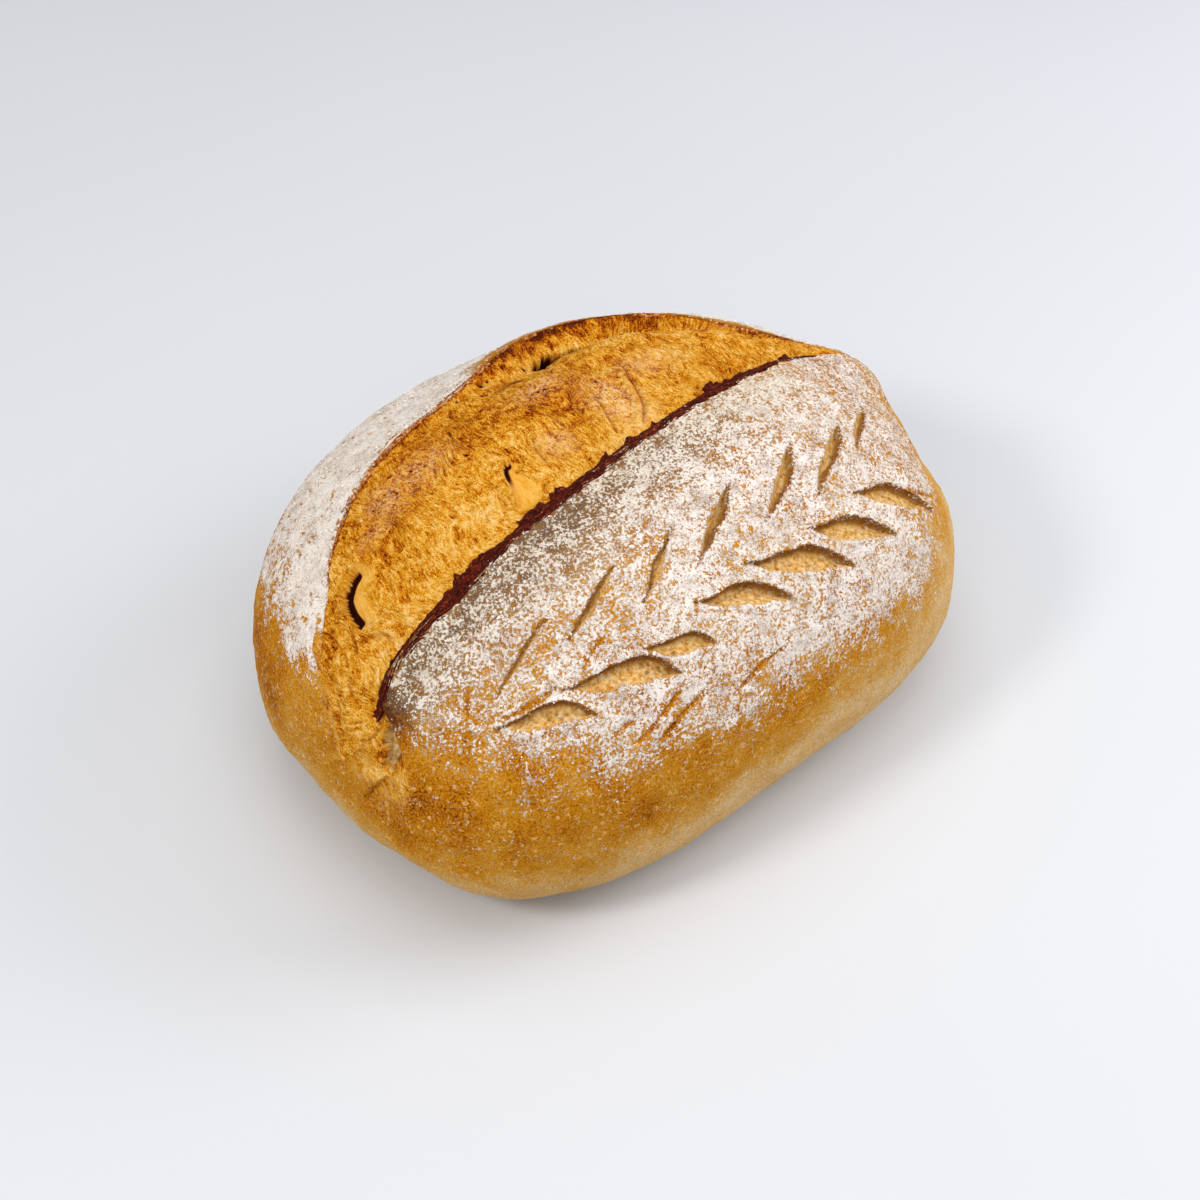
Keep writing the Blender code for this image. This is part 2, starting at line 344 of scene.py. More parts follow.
# A flat grid rolled into a closed sleeve: rows run from tip to tip, columns go round
def addSleeve(name, grid, **layers):
    rings, around = len(grid) - 1, grid.shape[1]
    bpy.ops.object.select_all(action="DESELECT")
    bpy.ops.mesh.primitive_grid_add(x_subdivisions=around, y_subdivisions=rings, size=2.0, calc_uvs=False)
    piece = bpy.context.object
    piece.name = piece.data.name = name
    mesh = piece.data
    co = np.empty(len(mesh.vertices) * 3)
    mesh.vertices.foreach_get("co", co)
    x, y, _ = co.reshape(-1, 3).T
    order = np.rint((y + 1) / 2 * rings).astype(int), np.rint((x + 1) / 2 * around).astype(int) % around
    mesh.vertices.foreach_set("co", grid[order].ravel())
    for layerName, values in layers.items():
        isVector = values.ndim == 3
        layer = mesh.attributes.new(layerName, "FLOAT_VECTOR" if isVector else "FLOAT", "POINT")
        layer.data.foreach_set("vector" if isVector else "value", values[order].astype(np.float32).ravel())
    bpy.ops.object.mode_set(mode="EDIT")
    bpy.ops.mesh.select_all(action="SELECT")
    bpy.ops.mesh.remove_doubles(threshold=0.001 * mm)
    bpy.ops.object.mode_set(mode="OBJECT")
    turnOutwards(piece)
    bpy.ops.object.shade_smooth_by_angle(angle=np.radians(75))
    return piece


def turnOutwards(piece):
    mesh = piece.data
    mesh.calc_loop_triangles()
    corners = np.empty(len(mesh.loop_triangles) * 3, int)
    mesh.loop_triangles.foreach_get("vertices", corners)
    co = np.empty(len(mesh.vertices) * 3)
    mesh.vertices.foreach_get("co", co)
    a, b, c = co.reshape(-1, 3)[corners.reshape(-1, 3)].transpose(1, 0, 2)
    if np.sum(a * np.cross(b, c)) < 0:
        bpy.ops.object.mode_set(mode="EDIT")
        bpy.ops.mesh.select_all(action="SELECT")
        bpy.ops.mesh.flip_normals()
        bpy.ops.object.mode_set(mode="OBJECT")


def finishPiece(piece, material):
    piece.data.materials.clear()
    piece.data.materials.append(material)
    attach(piece, "root")
    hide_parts("loaf")
    print(piece.name, "done:", len(piece.data.vertices), "points")


# Lengths along and across the surface, for strands that follow the tear
flowTable = evenStations(400, 0.5, 179.5, 80)


def strandFlow(grid, station, firstColumn):
    steps = np.linalg.norm(np.diff(grid, axis=1), axis=2)
    across = np.concatenate([np.zeros((len(grid), 1)), np.cumsum(steps, axis=1)], axis=1)
    across = across - across[:, firstColumn : firstColumn + 1]
    along = np.interp(station, flowTable, np.linspace(0, 0.30, 401))
    flow = np.stack([along, across, 0 * along], axis=-1)
    swirl = np.stack([lumps(grid, 13 * mm, 81 + k, 2) for k in range(2)] + [0 * along], axis=-1)
    return flow + swirl * 2.4 * mm


# Materials
def tone(red, green, blue):
    values = [c / 255 for c in (red, green, blue)]
    return tuple(c / 12.92 if c <= 0.04045 else ((c + 0.055) / 1.055) ** 2.4 for c in values) + (1.0,)


def addNode(tree, kind, inputs=None, **settings):
    node = tree.nodes.new("ShaderNode" + kind)
    for key, value in settings.items():
        setattr(node, key, value)
    for key, value in (inputs or {}).items():
        if isinstance(value, bpy.types.NodeSocket):
            tree.links.new(value, node.inputs[key])
        else:
            node.inputs[key].default_value = value
    return node


def calc(tree, operation, a, b=0.0, clamp=False):
    return addNode(tree, "Math", {0: a, 1: b}, operation=operation, use_clamp=clamp).outputs[0]


def mixColour(tree, factor, a, b, blend="MIX"):
    node = addNode(tree, "Mix", {0: factor, 6: a, 7: b}, data_type="RGBA", blend_type=blend)
    return node.outputs[2]


def softStep(tree, value, start, end):
    node = addNode(tree, "MapRange", {"Value": value, "From Min": start, "From Max": end},
                   interpolation_type="SMOOTHSTEP")
    return node.outputs[0]


def ramp(tree, factor, stops):
    node = addNode(tree, "ValToRGB", {"Fac": factor})
    elements = node.color_ramp.elements
    while len(elements) < len(stops):
        elements.new(0.5)
    for element, (place, colour) in zip(elements, stops):
        element.position = place
        element.color = tone(*colour)
    return node.outputs["Color"]


def speckle(tree, vector, scale, detail=2.0, roughness=0.6):
    node = addNode(tree, "TexNoise", {"Vector": vector, "Scale": scale, "Detail": detail, "Roughness": roughness})
    return node.outputs["Fac"]


def painted(tree, name):
    return addNode(tree, "Attribute", attribute_name=name).outputs["Fac"]


def newGroup(name, inputs, outputs):
    tree = bpy.data.node_groups.new(name, "ShaderNodeTree")
    for label, kind, value in inputs:
        socket = tree.interface.new_socket(label, in_out="INPUT", socket_type="NodeSocket" + kind)
        if value is not None:
            socket.default_value = value
    for label, kind in outputs:
        tree.interface.new_socket(label, in_out="OUTPUT", socket_type="NodeSocket" + kind)
    return tree, tree.nodes.new("NodeGroupInput").outputs, tree.nodes.new("NodeGroupOutput").inputs


def placeGroup(tree, group, inputs):
    node = tree.nodes.new("ShaderNodeGroup")
    node.node_tree = group
    for key, value in inputs.items():
        if isinstance(value, bpy.types.NodeSocket):
            tree.links.new(value, node.inputs[key])
        else:
            node.inputs[key].default_value = value
    return node.outputs


# Strands and crumbs of torn dough: pale ridges over toasted gaps. The colour follows the relief, so it also paints
# highlight on the ridges and shade in the gaps.
def makeFibreGroup():
    tree, given, result = newGroup(
        "tornFibre",
        [("Flow", "Vector", None), ("Place", "Vector", None), ("ToastAndShade", "Float", 0.5), ("Calm", "Float", 0.0)],
        [("Colour", "Color"), ("Height", "Float")])
    link = tree.links.new
    across = addNode(tree, "Mapping", {"Vector": given["Flow"], "Scale": (1.0, 0.20, 1.0)}).outputs[0]
    slanted = addNode(tree, "Mapping", {"Vector": given["Flow"], "Rotation": (0, 0, 0.75),
                                        "Scale": (1.0, 0.28, 1.0)}).outputs[0]
    strandA = speckle(tree, across, 1500, 4.0, 0.66)
    strandB = speckle(tree, slanted, 1250, 4.0, 0.66)
    patch = softStep(tree, speckle(tree, given["Flow"], 120, 2.0, 0.5), 0.42, 0.58)
    strand = addNode(tree, "Mix", {0: patch, 2: strandA, 3: strandB}, data_type="FLOAT").outputs[0]
    crumb = speckle(tree, given["Place"], 2100, 2.0, 0.6)
    pale = speckle(tree, given["Place"], 300, 3.0, 0.6)
    rough = calc(tree, "SUBTRACT", 1.0, calc(tree, "MULTIPLY", given["Calm"], 0.65))
    # Paler where strand and crumb are high and darker where they are low: painted highlight on the ridges and painted
    # shade in the gaps.
    value = calc(tree, "MULTIPLY", calc(tree, "SUBTRACT", 0.5, strand), 1.7)
    value = calc(tree, "ADD", value, calc(tree, "MULTIPLY", calc(tree, "SUBTRACT", 0.5, crumb), 1.3))
    value = calc(tree, "ADD", value, calc(tree, "MULTIPLY", calc(tree, "SUBTRACT", 0.5, pale), 0.9))
    # The input added here brings the toasting, along with the painted shade in strand gaps and gashes.
    value = calc(tree, "ADD", calc(tree, "MULTIPLY", value, rough), given["ToastAndShade"], clamp=True)
    colour = ramp(tree, value, [(0.0, (236, 200, 140)), (0.24, (228, 174, 84)), (0.44, (212, 150, 32)),
                                (0.62, (192, 114, 8)), (0.80, (156, 70, 2)), (1.0, (74, 24, 1))])
    link(colour, result["Colour"])
    relief = calc(tree, "ADD", calc(tree, "MULTIPLY", strand, 0.65), calc(tree, "MULTIPLY", crumb, 0.35))
    relief = calc(tree, "MULTIPLY", calc(tree, "SUBTRACT", relief, 0.5), rough)
    link(calc(tree, "ADD", calc(tree, "MULTIPLY", relief, 3.0), 0.5), result["Height"])
    return tree


# Flour lying in clumps and grains, with the crust showing through where it is thin
def makeFlourGroup():
    tree, given, result = newGroup(
        "flourDust", [("Vector", "Vector", None), ("Amount", "Float", 0.5), ("Warm", "Float", 0.0)],
        [("Cover", "Float"), ("Colour", "Color"), ("Height", "Float")])
    link = tree.links.new
    grain = speckle(tree, given["Vector"], 1000, 4.0, 0.7)
    clump = speckle(tree, given["Vector"], 300, 3.0, 0.6)
    both = calc(tree, "ADD", calc(tree, "MULTIPLY", grain, 0.74), calc(tree, "MULTIPLY", clump, 0.26))
    spread = calc(tree, "ADD", calc(tree, "MULTIPLY", calc(tree, "SUBTRACT", both, 0.5), 5.2), 0.5)
    cover = softStep(tree, calc(tree, "SUBTRACT", given["Amount"], spread), -0.16, 0.24)
    fine = speckle(tree, given["Vector"], 2300, 2.0, 0.6)
    shade = calc(tree, "ADD", calc(tree, "MULTIPLY", speckle(tree, given["Vector"], 140, 4.0, 0.7), 0.5),
                 calc(tree, "MULTIPLY", fine, 0.5))
    white = ramp(tree, shade, [(0.38, (178, 156, 140)), (0.48, (232, 218, 206)), (0.58, (252, 242, 232))])
    colour = mixColour(tree, calc(tree, "MULTIPLY", given["Warm"], 0.5), white, tone(222, 204, 172))
    link(cover, result["Cover"])
    link(colour, result["Colour"])
    relief = calc(tree, "MULTIPLY", calc(tree, "SUBTRACT", 0.5, both), 3.2)
    link(calc(tree, "ADD", calc(tree, "MULTIPLY", cover, 0.5), relief), result["Height"])
    return tree


# Fine sandy grain, small pale blisters and dark pores of baked crust
def makeGrainGroup():
    tree, given, result = newGroup(
        "crustGrain", [("Vector", "Vector", None), ("Bake", "Float", 0.5)],
        [("Colour", "Color"), ("Height", "Float")])
    link = tree.links.new
    patch = speckle(tree, given["Vector"], 75, 4.0, 0.6)
    fine = speckle(tree, given["Vector"], 1350, 3.0, 0.72)
    value = calc(tree, "ADD", given["Bake"], calc(tree, "MULTIPLY", calc(tree, "SUBTRACT", patch, 0.5), 0.55))
    value = calc(tree, "ADD", value, calc(tree, "MULTIPLY", calc(tree, "SUBTRACT", fine, 0.5), 1.5), clamp=True)
    colour = ramp(tree, value, [(0.0, (228, 196, 150)), (0.22, (214, 166, 92)), (0.5, (204, 138, 20)),
                                (0.72, (182, 106, 4)), (0.9, (124, 56, 2)), (1.0, (64, 22, 1))])
    cells = addNode(tree, "TexVoronoi", {"Vector": given["Vector"], "Scale": 380.0})
    chosen = addNode(tree, "SeparateColor", {0: cells.outputs["Color"]}).outputs[0]
    ragged = calc(tree, "ADD", cells.outputs["Distance"],
                  calc(tree, "MULTIPLY", calc(tree, "SUBTRACT", fine, 0.5), 1.4))
    dome = calc(tree, "MULTIPLY", softStep(tree, ragged, 0.36, 0.12), softStep(tree, chosen, 0.40, 0.85))
    colour = mixColour(tree, calc(tree, "MULTIPLY", dome, 0.8), colour, tone(234, 184, 108))
    # The small pits are sunk and also darkened towards brown, which is painted shade.
    pores = addNode(tree, "TexVoronoi", {"Vector": given["Vector"], "Scale": 560.0})
    hole = softStep(tree, pores.outputs["Distance"], 0.17, 0.06)
    colour = mixColour(tree, calc(tree, "MULTIPLY", hole, 0.4), colour, tone(112, 52, 8))
    link(colour, result["Colour"])
    height = calc(tree, "ADD", calc(tree, "MULTIPLY", calc(tree, "SUBTRACT", fine, 0.5), 2.6),
                  calc(tree, "MULTIPLY", dome, 0.5))
    link(calc(tree, "SUBTRACT", height, hole), result["Height"])
    return tree


# The crumb inside a cut: golden, streaked, with round pores
def makeCrumbGroup():
    tree, given, result = newGroup("openCrumb", [("Vector", "Vector", None)],
                                   [("Colour", "Color"), ("Height", "Float")])
    fine = speckle(tree, given["Vector"], 620, 4.0, 0.68)
    colour = ramp(tree, fine, [(0.34, (176, 112, 32)), (0.5, (220, 170, 92)), (0.66, (240, 208, 150))])
    # The round pores are sunk and also darkened, which is painted shade.
    cells = addNode(tree, "TexVoronoi", {"Vector": given["Vector"], "Scale": 400.0})
    chosen = addNode(tree, "SeparateColor", {0: cells.outputs["Color"]}).outputs[0]
    hole = calc(tree, "MULTIPLY", softStep(tree, cells.outputs["Distance"], 0.42, 0.20),
                softStep(tree, chosen, 0.62, 0.72))
    colour = mixColour(tree, calc(tree, "MULTIPLY", hole, 0.6), colour, tone(124, 76, 24))
    tree.links.new(colour, result["Colour"])
    height = calc(tree, "MULTIPLY", calc(tree, "SUBTRACT", fine, 0.5), 2.4)
    tree.links.new(calc(tree, "SUBTRACT", height, hole), result["Height"])
    return tree


def startMaterial(name, roughness, specular):
    material = bpy.data.materials.new(name)
    material.use_nodes = True
    tree = material.node_tree
    shader = tree.nodes["Principled BSDF"]
    shader.inputs["Roughness"].default_value = roughness
    shader.inputs["Specular IOR Level"].default_value = specular
    return material, tree, shader


def addBump(tree, shader, height, distance, strength=1.0):
    bump = addNode(tree, "Bump", {"Height": height, "Distance": distance, "Strength": strength})
    tree.links.new(bump.outputs["Normal"], shader.inputs["Normal"])


def mixValue(tree, factor, a, b):
    return addNode(tree, "Mix", {0: factor, 2: a, 3: b}, data_type="FLOAT").outputs[0]


def makeCrustMaterial(fibre, dust, grain, crumbs):
    material, tree, shader = startMaterial("flouredCrust", 0.8, 0.04)
    place = addNode(tree, "TexCoord").outputs["Object"]
    flow = addNode(tree, "Attribute", attribute_name="flow").outputs["Vector"]
    crust = placeGroup(tree, grain, {"Vector": place, "Bake": painted(tree, "bake")})
    torn = placeGroup(tree, fibre, {"Flow": flow, "Place": place, "ToastAndShade": painted(tree, "toast")})
    flour = placeGroup(tree, dust, {"Vector": place, "Amount": painted(tree, "flour"), "Warm": painted(tree, "warm")})
    crumb = placeGroup(tree, crumbs, {"Vector": place})
    pale = ramp(tree, speckle(tree, place, 420, 3.0, 0.6), [(0.35, (168, 118, 50)), (0.65, (240, 206, 140))])
    char = ramp(tree, speckle(tree, place, 1000, 2.0, 0.6), [(0.38, (62, 34, 16)), (0.62, (138, 100, 62))])
    colour = mixColour(tree, painted(tree, "char"), crust["Colour"], char)
    colour = mixColour(tree, painted(tree, "torn"), colour, torn["Colour"])
    colour = mixColour(tree, painted(tree, "cut"), colour, crumb["Colour"])
    colour = mixColour(tree, painted(tree, "pale"), colour, pale)
    # This layer turns the crust dark brown. It holds the real char at the flap's corner, painted shade in and under the
    # leaf cuts and in the pocket, and a dark line painted along the far lip's edge.
    colour = mixColour(tree, painted(tree, "singe"), colour, tone(96, 40, 8))
    colour = mixColour(tree, flour["Cover"], colour, flour["Colour"])
    tree.links.new(colour, shader.inputs["Base Color"])
    height = mixValue(tree, painted(tree, "torn"), crust["Height"], torn["Height"])
    height = mixValue(tree, painted(tree, "cut"), height, crumb["Height"])
    addBump(tree, shader, calc(tree, "ADD", height, flour["Height"]), 0.34 * mm, 0.85)
    return material


def makeDoughMaterial(fibre):
    material, tree, shader = startMaterial("burstDough", 0.75, 0.05)
    place = addNode(tree, "TexCoord").outputs["Object"]
    flow = addNode(tree, "Attribute", attribute_name="flow").outputs["Vector"]
    torn = placeGroup(tree, fibre, {"Flow": flow, "Place": place, "ToastAndShade": painted(tree, "toast"),
                                    "Calm": painted(tree, "calm")})
    dusty = softStep(tree, speckle(tree, place, 900, 3.0, 0.65), 0.44, 0.60)
    dusty = calc(tree, "MULTIPLY", dusty, painted(tree, "dusty"))
    colour = mixColour(tree, dusty, torn["Colour"], tone(232, 190, 142))
    # Painted shade in the dough's folds, caves, slit and wedge, from dark red-brown to near black.
    deep = painted(tree, "shade")
    hollow = ramp(tree, deep, [(0.3, (146, 62, 4)), (0.85, (34, 5, 1))])
    colour = mixColour(tree, softStep(tree, deep, 0.0, 0.75), colour, hollow)
    tree.links.new(colour, shader.inputs["Base Color"])
    addBump(tree, shader, torn["Height"], 0.42 * mm, 0.9)
    return material


def makeSingedMaterial():
    material, tree, shader = startMaterial("singedEdge", 0.55, 0.10)
    place = addNode(tree, "TexCoord").outputs["Object"]
    flow = addNode(tree, "Attribute", attribute_name="flow").outputs["Vector"]
    layered = addNode(tree, "Mapping", {"Vector": flow, "Scale": (0.12, 1.0, 1.0)}).outputs[0]
    sheets = speckle(tree, layered, 1300, 3.0, 0.6)
    fine = speckle(tree, place, 1100, 3.0, 0.7)
    value = calc(tree, "ADD", calc(tree, "MULTIPLY", fine, 0.6), calc(tree, "MULTIPLY", sheets, 0.4))
    # The palest stop makes sparse specks of painted highlight.
    colour = ramp(tree, value, [(0.40, (24, 1, 1)), (0.51, (72, 12, 3)), (0.60, (124, 44, 12)), (0.70, (196, 132, 80))])
    tree.links.new(colour, shader.inputs["Base Color"])
    tree.links.new(softStep(tree, fine, 0.3, 0.6), shader.inputs["Roughness"])
    height = calc(tree, "ADD", calc(tree, "MULTIPLY", fine, 1.6), calc(tree, "MULTIPLY", sheets, 1.8))
    addBump(tree, shader, height, 0.4 * mm, 0.9)
    return material


def makeRimMaterial():
    material, tree, shader = startMaterial("brownedRim", 0.8, 0.05)
    place = addNode(tree, "TexCoord").outputs["Object"]
    fine = speckle(tree, place, 800, 3.0, 0.65)
    colour = ramp(tree, fine, [(0.36, (96, 32, 2)), (0.5, (158, 82, 18)), (0.66, (220, 168, 116))])
    tree.links.new(colour, shader.inputs["Base Color"])
    addBump(tree, shader, fine, 0.8 * mm, 0.8)
    return material


def makeFlourMaterial():
    material, tree, shader = startMaterial("looseFlour", 1.0, 0.1)
    place = addNode(tree, "TexCoord").outputs["Object"]
    colour = ramp(tree, speckle(tree, place, 300, 2.0, 0.6), [(0.3, (230, 220, 210)), (0.7, (252, 248, 244))])
    tree.links.new(colour, shader.inputs["Base Color"])
    return material


fibreGroup = makeFibreGroup()
crustMaterial = makeCrustMaterial(fibreGroup, makeFlourGroup(), makeGrainGroup(), makeCrumbGroup())
doughMaterial = makeDoughMaterial(fibreGroup)
singedMaterial = makeSingedMaterial()
rimMaterial = makeRimMaterial()
flourMaterial = makeFlourMaterial()
print("materials made")


# Marks that both halves of the crust share
leftEnd = {
    "flapSide": [(-90, 166), (20, 164), (34, 160), (48, 157.5), (61.6, 155), (69.7, 153), (80, 150), (90, 148)],
    "farSide": [(-90, 172), (30, 171), (45, 169.5), (60, 167), (72, 164.5), (82, 161.5), (87, 158), (92, 153)],
}


def tornShare(points, station, turn):  # the golden torn end, between the flap's left edge and the far crust
    flapSide = np.interp(turn, *np.array(leftEnd["flapSide"], float).T)
    farSide = np.interp(turn, *np.array(leftEnd["farSide"], float).T)
    wander = lumps(points, 5 * mm, 55, 3)
    inside = smooth(station - flapSide, -0.2, 0.9) * smooth(farSide - station + 3.5 * wander, -4.5, 4.0)
    return inside * smooth(turn + 12 * wander, 12, 48) * smooth(-turn, -92, -86)


def stepAtFlap(station, turn):  # how far the torn end lies below the flap's left edge
    flapSide = np.interp(turn, *np.array(leftEnd["flapSide"], float).T)
    fade = smooth(turn, 42, 58) * smooth(-station, -169, -163)
    return hump((station - flapSide) / 6.0) * smooth(station - flapSide, -0.2, 0.9) * fade


def crustRelief(points):
    return (0.55 * mm * lumps(points, 26 * mm, 11) + 0.20 * mm * lumps(points, 6 * mm, 23)
            + 0.13 * mm * lumps(points, 2.4 * mm, 37, 2))


def baking(points, station, turn):  # 0 is pale tan, 1 is dark brown
    z = points[..., 2]
    value = 0.52 + 0.09 * lumps(points, 30 * mm, 51) + 0.06 * lumps(points, 9 * mm, 53, 2)
    value += 0.10 * hump((z - 58 * mm) / (16 * mm)) * smooth(station, 60, 100)
    value -= 0.36 * smooth(-z - 3 * mm * lumps(points, 20 * mm, 57, 2), -50 * mm, -22 * mm)
    value -= 0.30 * smooth(-station, -124, -76) * smooth(-z, -74 * mm, -38 * mm)
    value -= 0.20 * smooth(-station, -66, -30) * smooth(-z, -100 * mm, -50 * mm)
    return np.maximum(value, 0.15)


# The near crust: foot, swollen side, floured flap and the lifted ear
nearCrustSettings = {
    "rings": 400,
    "under": 8,
    "outer": 222,
    "band": 10,
    "wall": 7,
    "flourEdge": [(-120, 84), (-105, 80), (-86, 76), (-71, 70), (-52, 70), (-35, 68), (-9, 66), (20, 60), (45, 60),
                  (76, 64), (95, 72), (110, 80), (125, 84)],  # x and height of the flour's lower edge, mm
    # Each cut: tail and tip as station and turn, bow of the steep edge in mm, where along it peaks, bow of the
    # gentle edge, depth
    "lowerCuts": [
        ((138.5, 46.8), (120.9, 36.1), 7.2, 0.62, 2.4, 2.9),
        ((125.3, 47.5), (105.6, 34.1), 8.6, 0.68, 2.7, 3.2),
        ((110.4, 45.4), (98.4, 36.1), 4.9, 0.70, 3.4, 2.3),
        ((99.4, 48.4), (83.3, 34.9), 7.6, 0.60, 2.3, 3.2),
        ((88.8, 50.3), (70.4, 33.1), 7.4, 0.60, 3.5, 3.1),
        ((76.1, 49.3), (59.1, 33.7), 6.2, 0.52, 4.5, 2.8),
        ((64.9, 51.9), (44.8, 30.9), 5.6, 0.50, 3.8, 2.5),
    ],
    "leftCuts": [
        ((135.1, 53.0), (119.3, 62.7), 1.6, 0.60, 0.6, 2.0),
        ((120.0, 55.3), (105.0, 64.5), 1.5, 0.68, 2.1, 2.8),
        ((106.3, 53.6), (93.8, 65.1), 1.2, 0.55, 2.3, 2.6),
    ],
    "rightCuts": [
        ((95.2, 53.7), (81.4, 67.8), 2.5, 0.62, 2.3, 3.2),
        ((81.7, 54.4), (67.9, 69.1), 4.8, 0.60, 1.3, 2.5),
        ((70.9, 53.8), (55.7, 68.9), 3.5, 0.74, 2.7, 2.4),
        ((56.6, 59.9), (44.6, 71.0), 1.7, 0.70, 2.9, 1.7),
    ],
    "creases": [  # station and turn of each point
        [(137, 60), (139, 57), (141.5, 52)],
        [(118, 24), (113, 27), (105, 33)],
        [(114, 21), (109, 25), (102, 28)],
        [(121, 29), (116, 31)],
        [(99, 22), (93, 25), (86, 26)],
        [(124, 48), (131, 47.5), (137, 48)],
        [(121, 47), (117, 51), (113, 52)],
        [(52, 44), (45, 38), (40, 33)],
    ],
    "pocket": [(155.6, 62.8), (157.2, 60), (158.2, 56.5), (158.6, 53.4), (161.0, 51.0), (161.4, 47)],
    "sheetEdge": [(162.4, 45.8), (166.1, 41.3), (170.2, 31.8), (173.2, 16.5)],
}


# One leaf cut between its tail and its tip: steep under the lifted lip, shallow at its other edge
def leafCut(points, cut, steepSide):
    tail, tip, steepBow, peak, gentleBow, depth = cut
    (tailStation, tailTurn), (tipStation, tipTurn) = np.array(tail, float), np.array(tip, float)
    start, end = flapPoint(tailStation, tailTurn), flapPoint(tipStation, tipTurn)
    out = outward(skinPoint, (tailStation + tipStation) / 2, (tailTurn + tipTurn) / 2)[1]
    length = np.linalg.norm(end - start)
    forward = end - start
    forward = unit(forward - out * np.dot(forward, out))
    delta = points - start
    s = delta @ forward / length
    t = delta @ (np.cross(out, forward) * steepSide)
    t = t + 0.5 * mm * noise(points, 5 * mm, int(10 * tailStation)) + 0.22 * mm * noise(points, 1.7 * mm, 92)
    inside = smooth(s, 0.0, 0.06) * smooth(-s, -1.0, -0.95) * (np.abs(delta @ out) < 14 * mm)
    arc = np.where(s < peak, smooth(s, 0.0, peak), 1 - np.clip((s - peak) / (1 - peak), 0, 1) ** 1.5)
    steepEdge = 0.84 * steepBow * mm * arc
    gentleEdge = -0.84 * gentleBow * mm * smooth(s, 0.02, 0.36) * smooth(-s, -1.0, -0.45)
    width = np.maximum(steepEdge - gentleEdge, 0.3 * mm)
    q = (t - gentleEdge) / width
    wall = np.clip(0.6 * mm / width, 0.02, 0.5)
    wide = smooth(width, 0.7 * mm, 3.5 * mm)
    floor = smooth(q, 0.0, 0.7) * smooth(1 - q, 0.0, wall) * (0.35 + 0.65 * wide)
    past = (t - steepEdge) / mm
    rim = np.where(past > 0, hump(past / 1.7), hump(past / 0.35)) * inside
    # line: a thin painted shadow under the lifted lip. dark: painted shade at the foot of the steep wall.
    line = hump((past + 0.1) / 0.55) * inside
    opened = smooth(q, 0.02, 0.16) * smooth(1 - q, -0.02, 0.04) * smooth(width, 0.7 * mm, 1.8 * mm) * inside
    dark = smooth(q, 0.70, 0.95) * smooth(1 - q, -0.03, 0.01) * inside
    lip = hump((t - gentleEdge + 0.6 * mm) / (1.0 * mm)) * inside * wide
    pores = blisters(points, 2.6 * mm, int(7 * tipStation), 0.4) * opened
    height = -depth * mm * floor * inside + 0.75 * mm * rim + 0.40 * mm * lip - 0.45 * mm * pores
    return height, opened, dark, line


def wallTo(corner, foot, count):
    share = (np.arange(count) + 1.0) / (count + 1.0)
    return corner[:, None, :] * (1 - share)[None, :, None] + foot[:, None, :] * share[None, :, None]


def nearFlour(points, station, turn):
    edge = np.interp(points[..., 0] / mm, *np.array(nearCrustSettings["flourEdge"], float).T) * mm
    z = points[..., 2] + 6 * mm * lumps(points, 16 * mm, 61, 2) + 5 * mm * lumps(points, 5 * mm, 63, 2)
    heavy = smooth(z - edge, -12 * mm, 18 * mm)
    value = -0.08 + 0.80 * heavy + (0.16 * lumps(points, 9 * mm, 71, 3) + 0.07 * lumps(points, 3.5 * mm, 73, 2)) * heavy
    value -= 0.10 * smooth(-station, -60, -34) + 0.30 * smooth(-station, -32, -14)
    return value * smooth(z - edge, -34 * mm, -8 * mm) - 0.1 * (z - edge < -34 * mm)


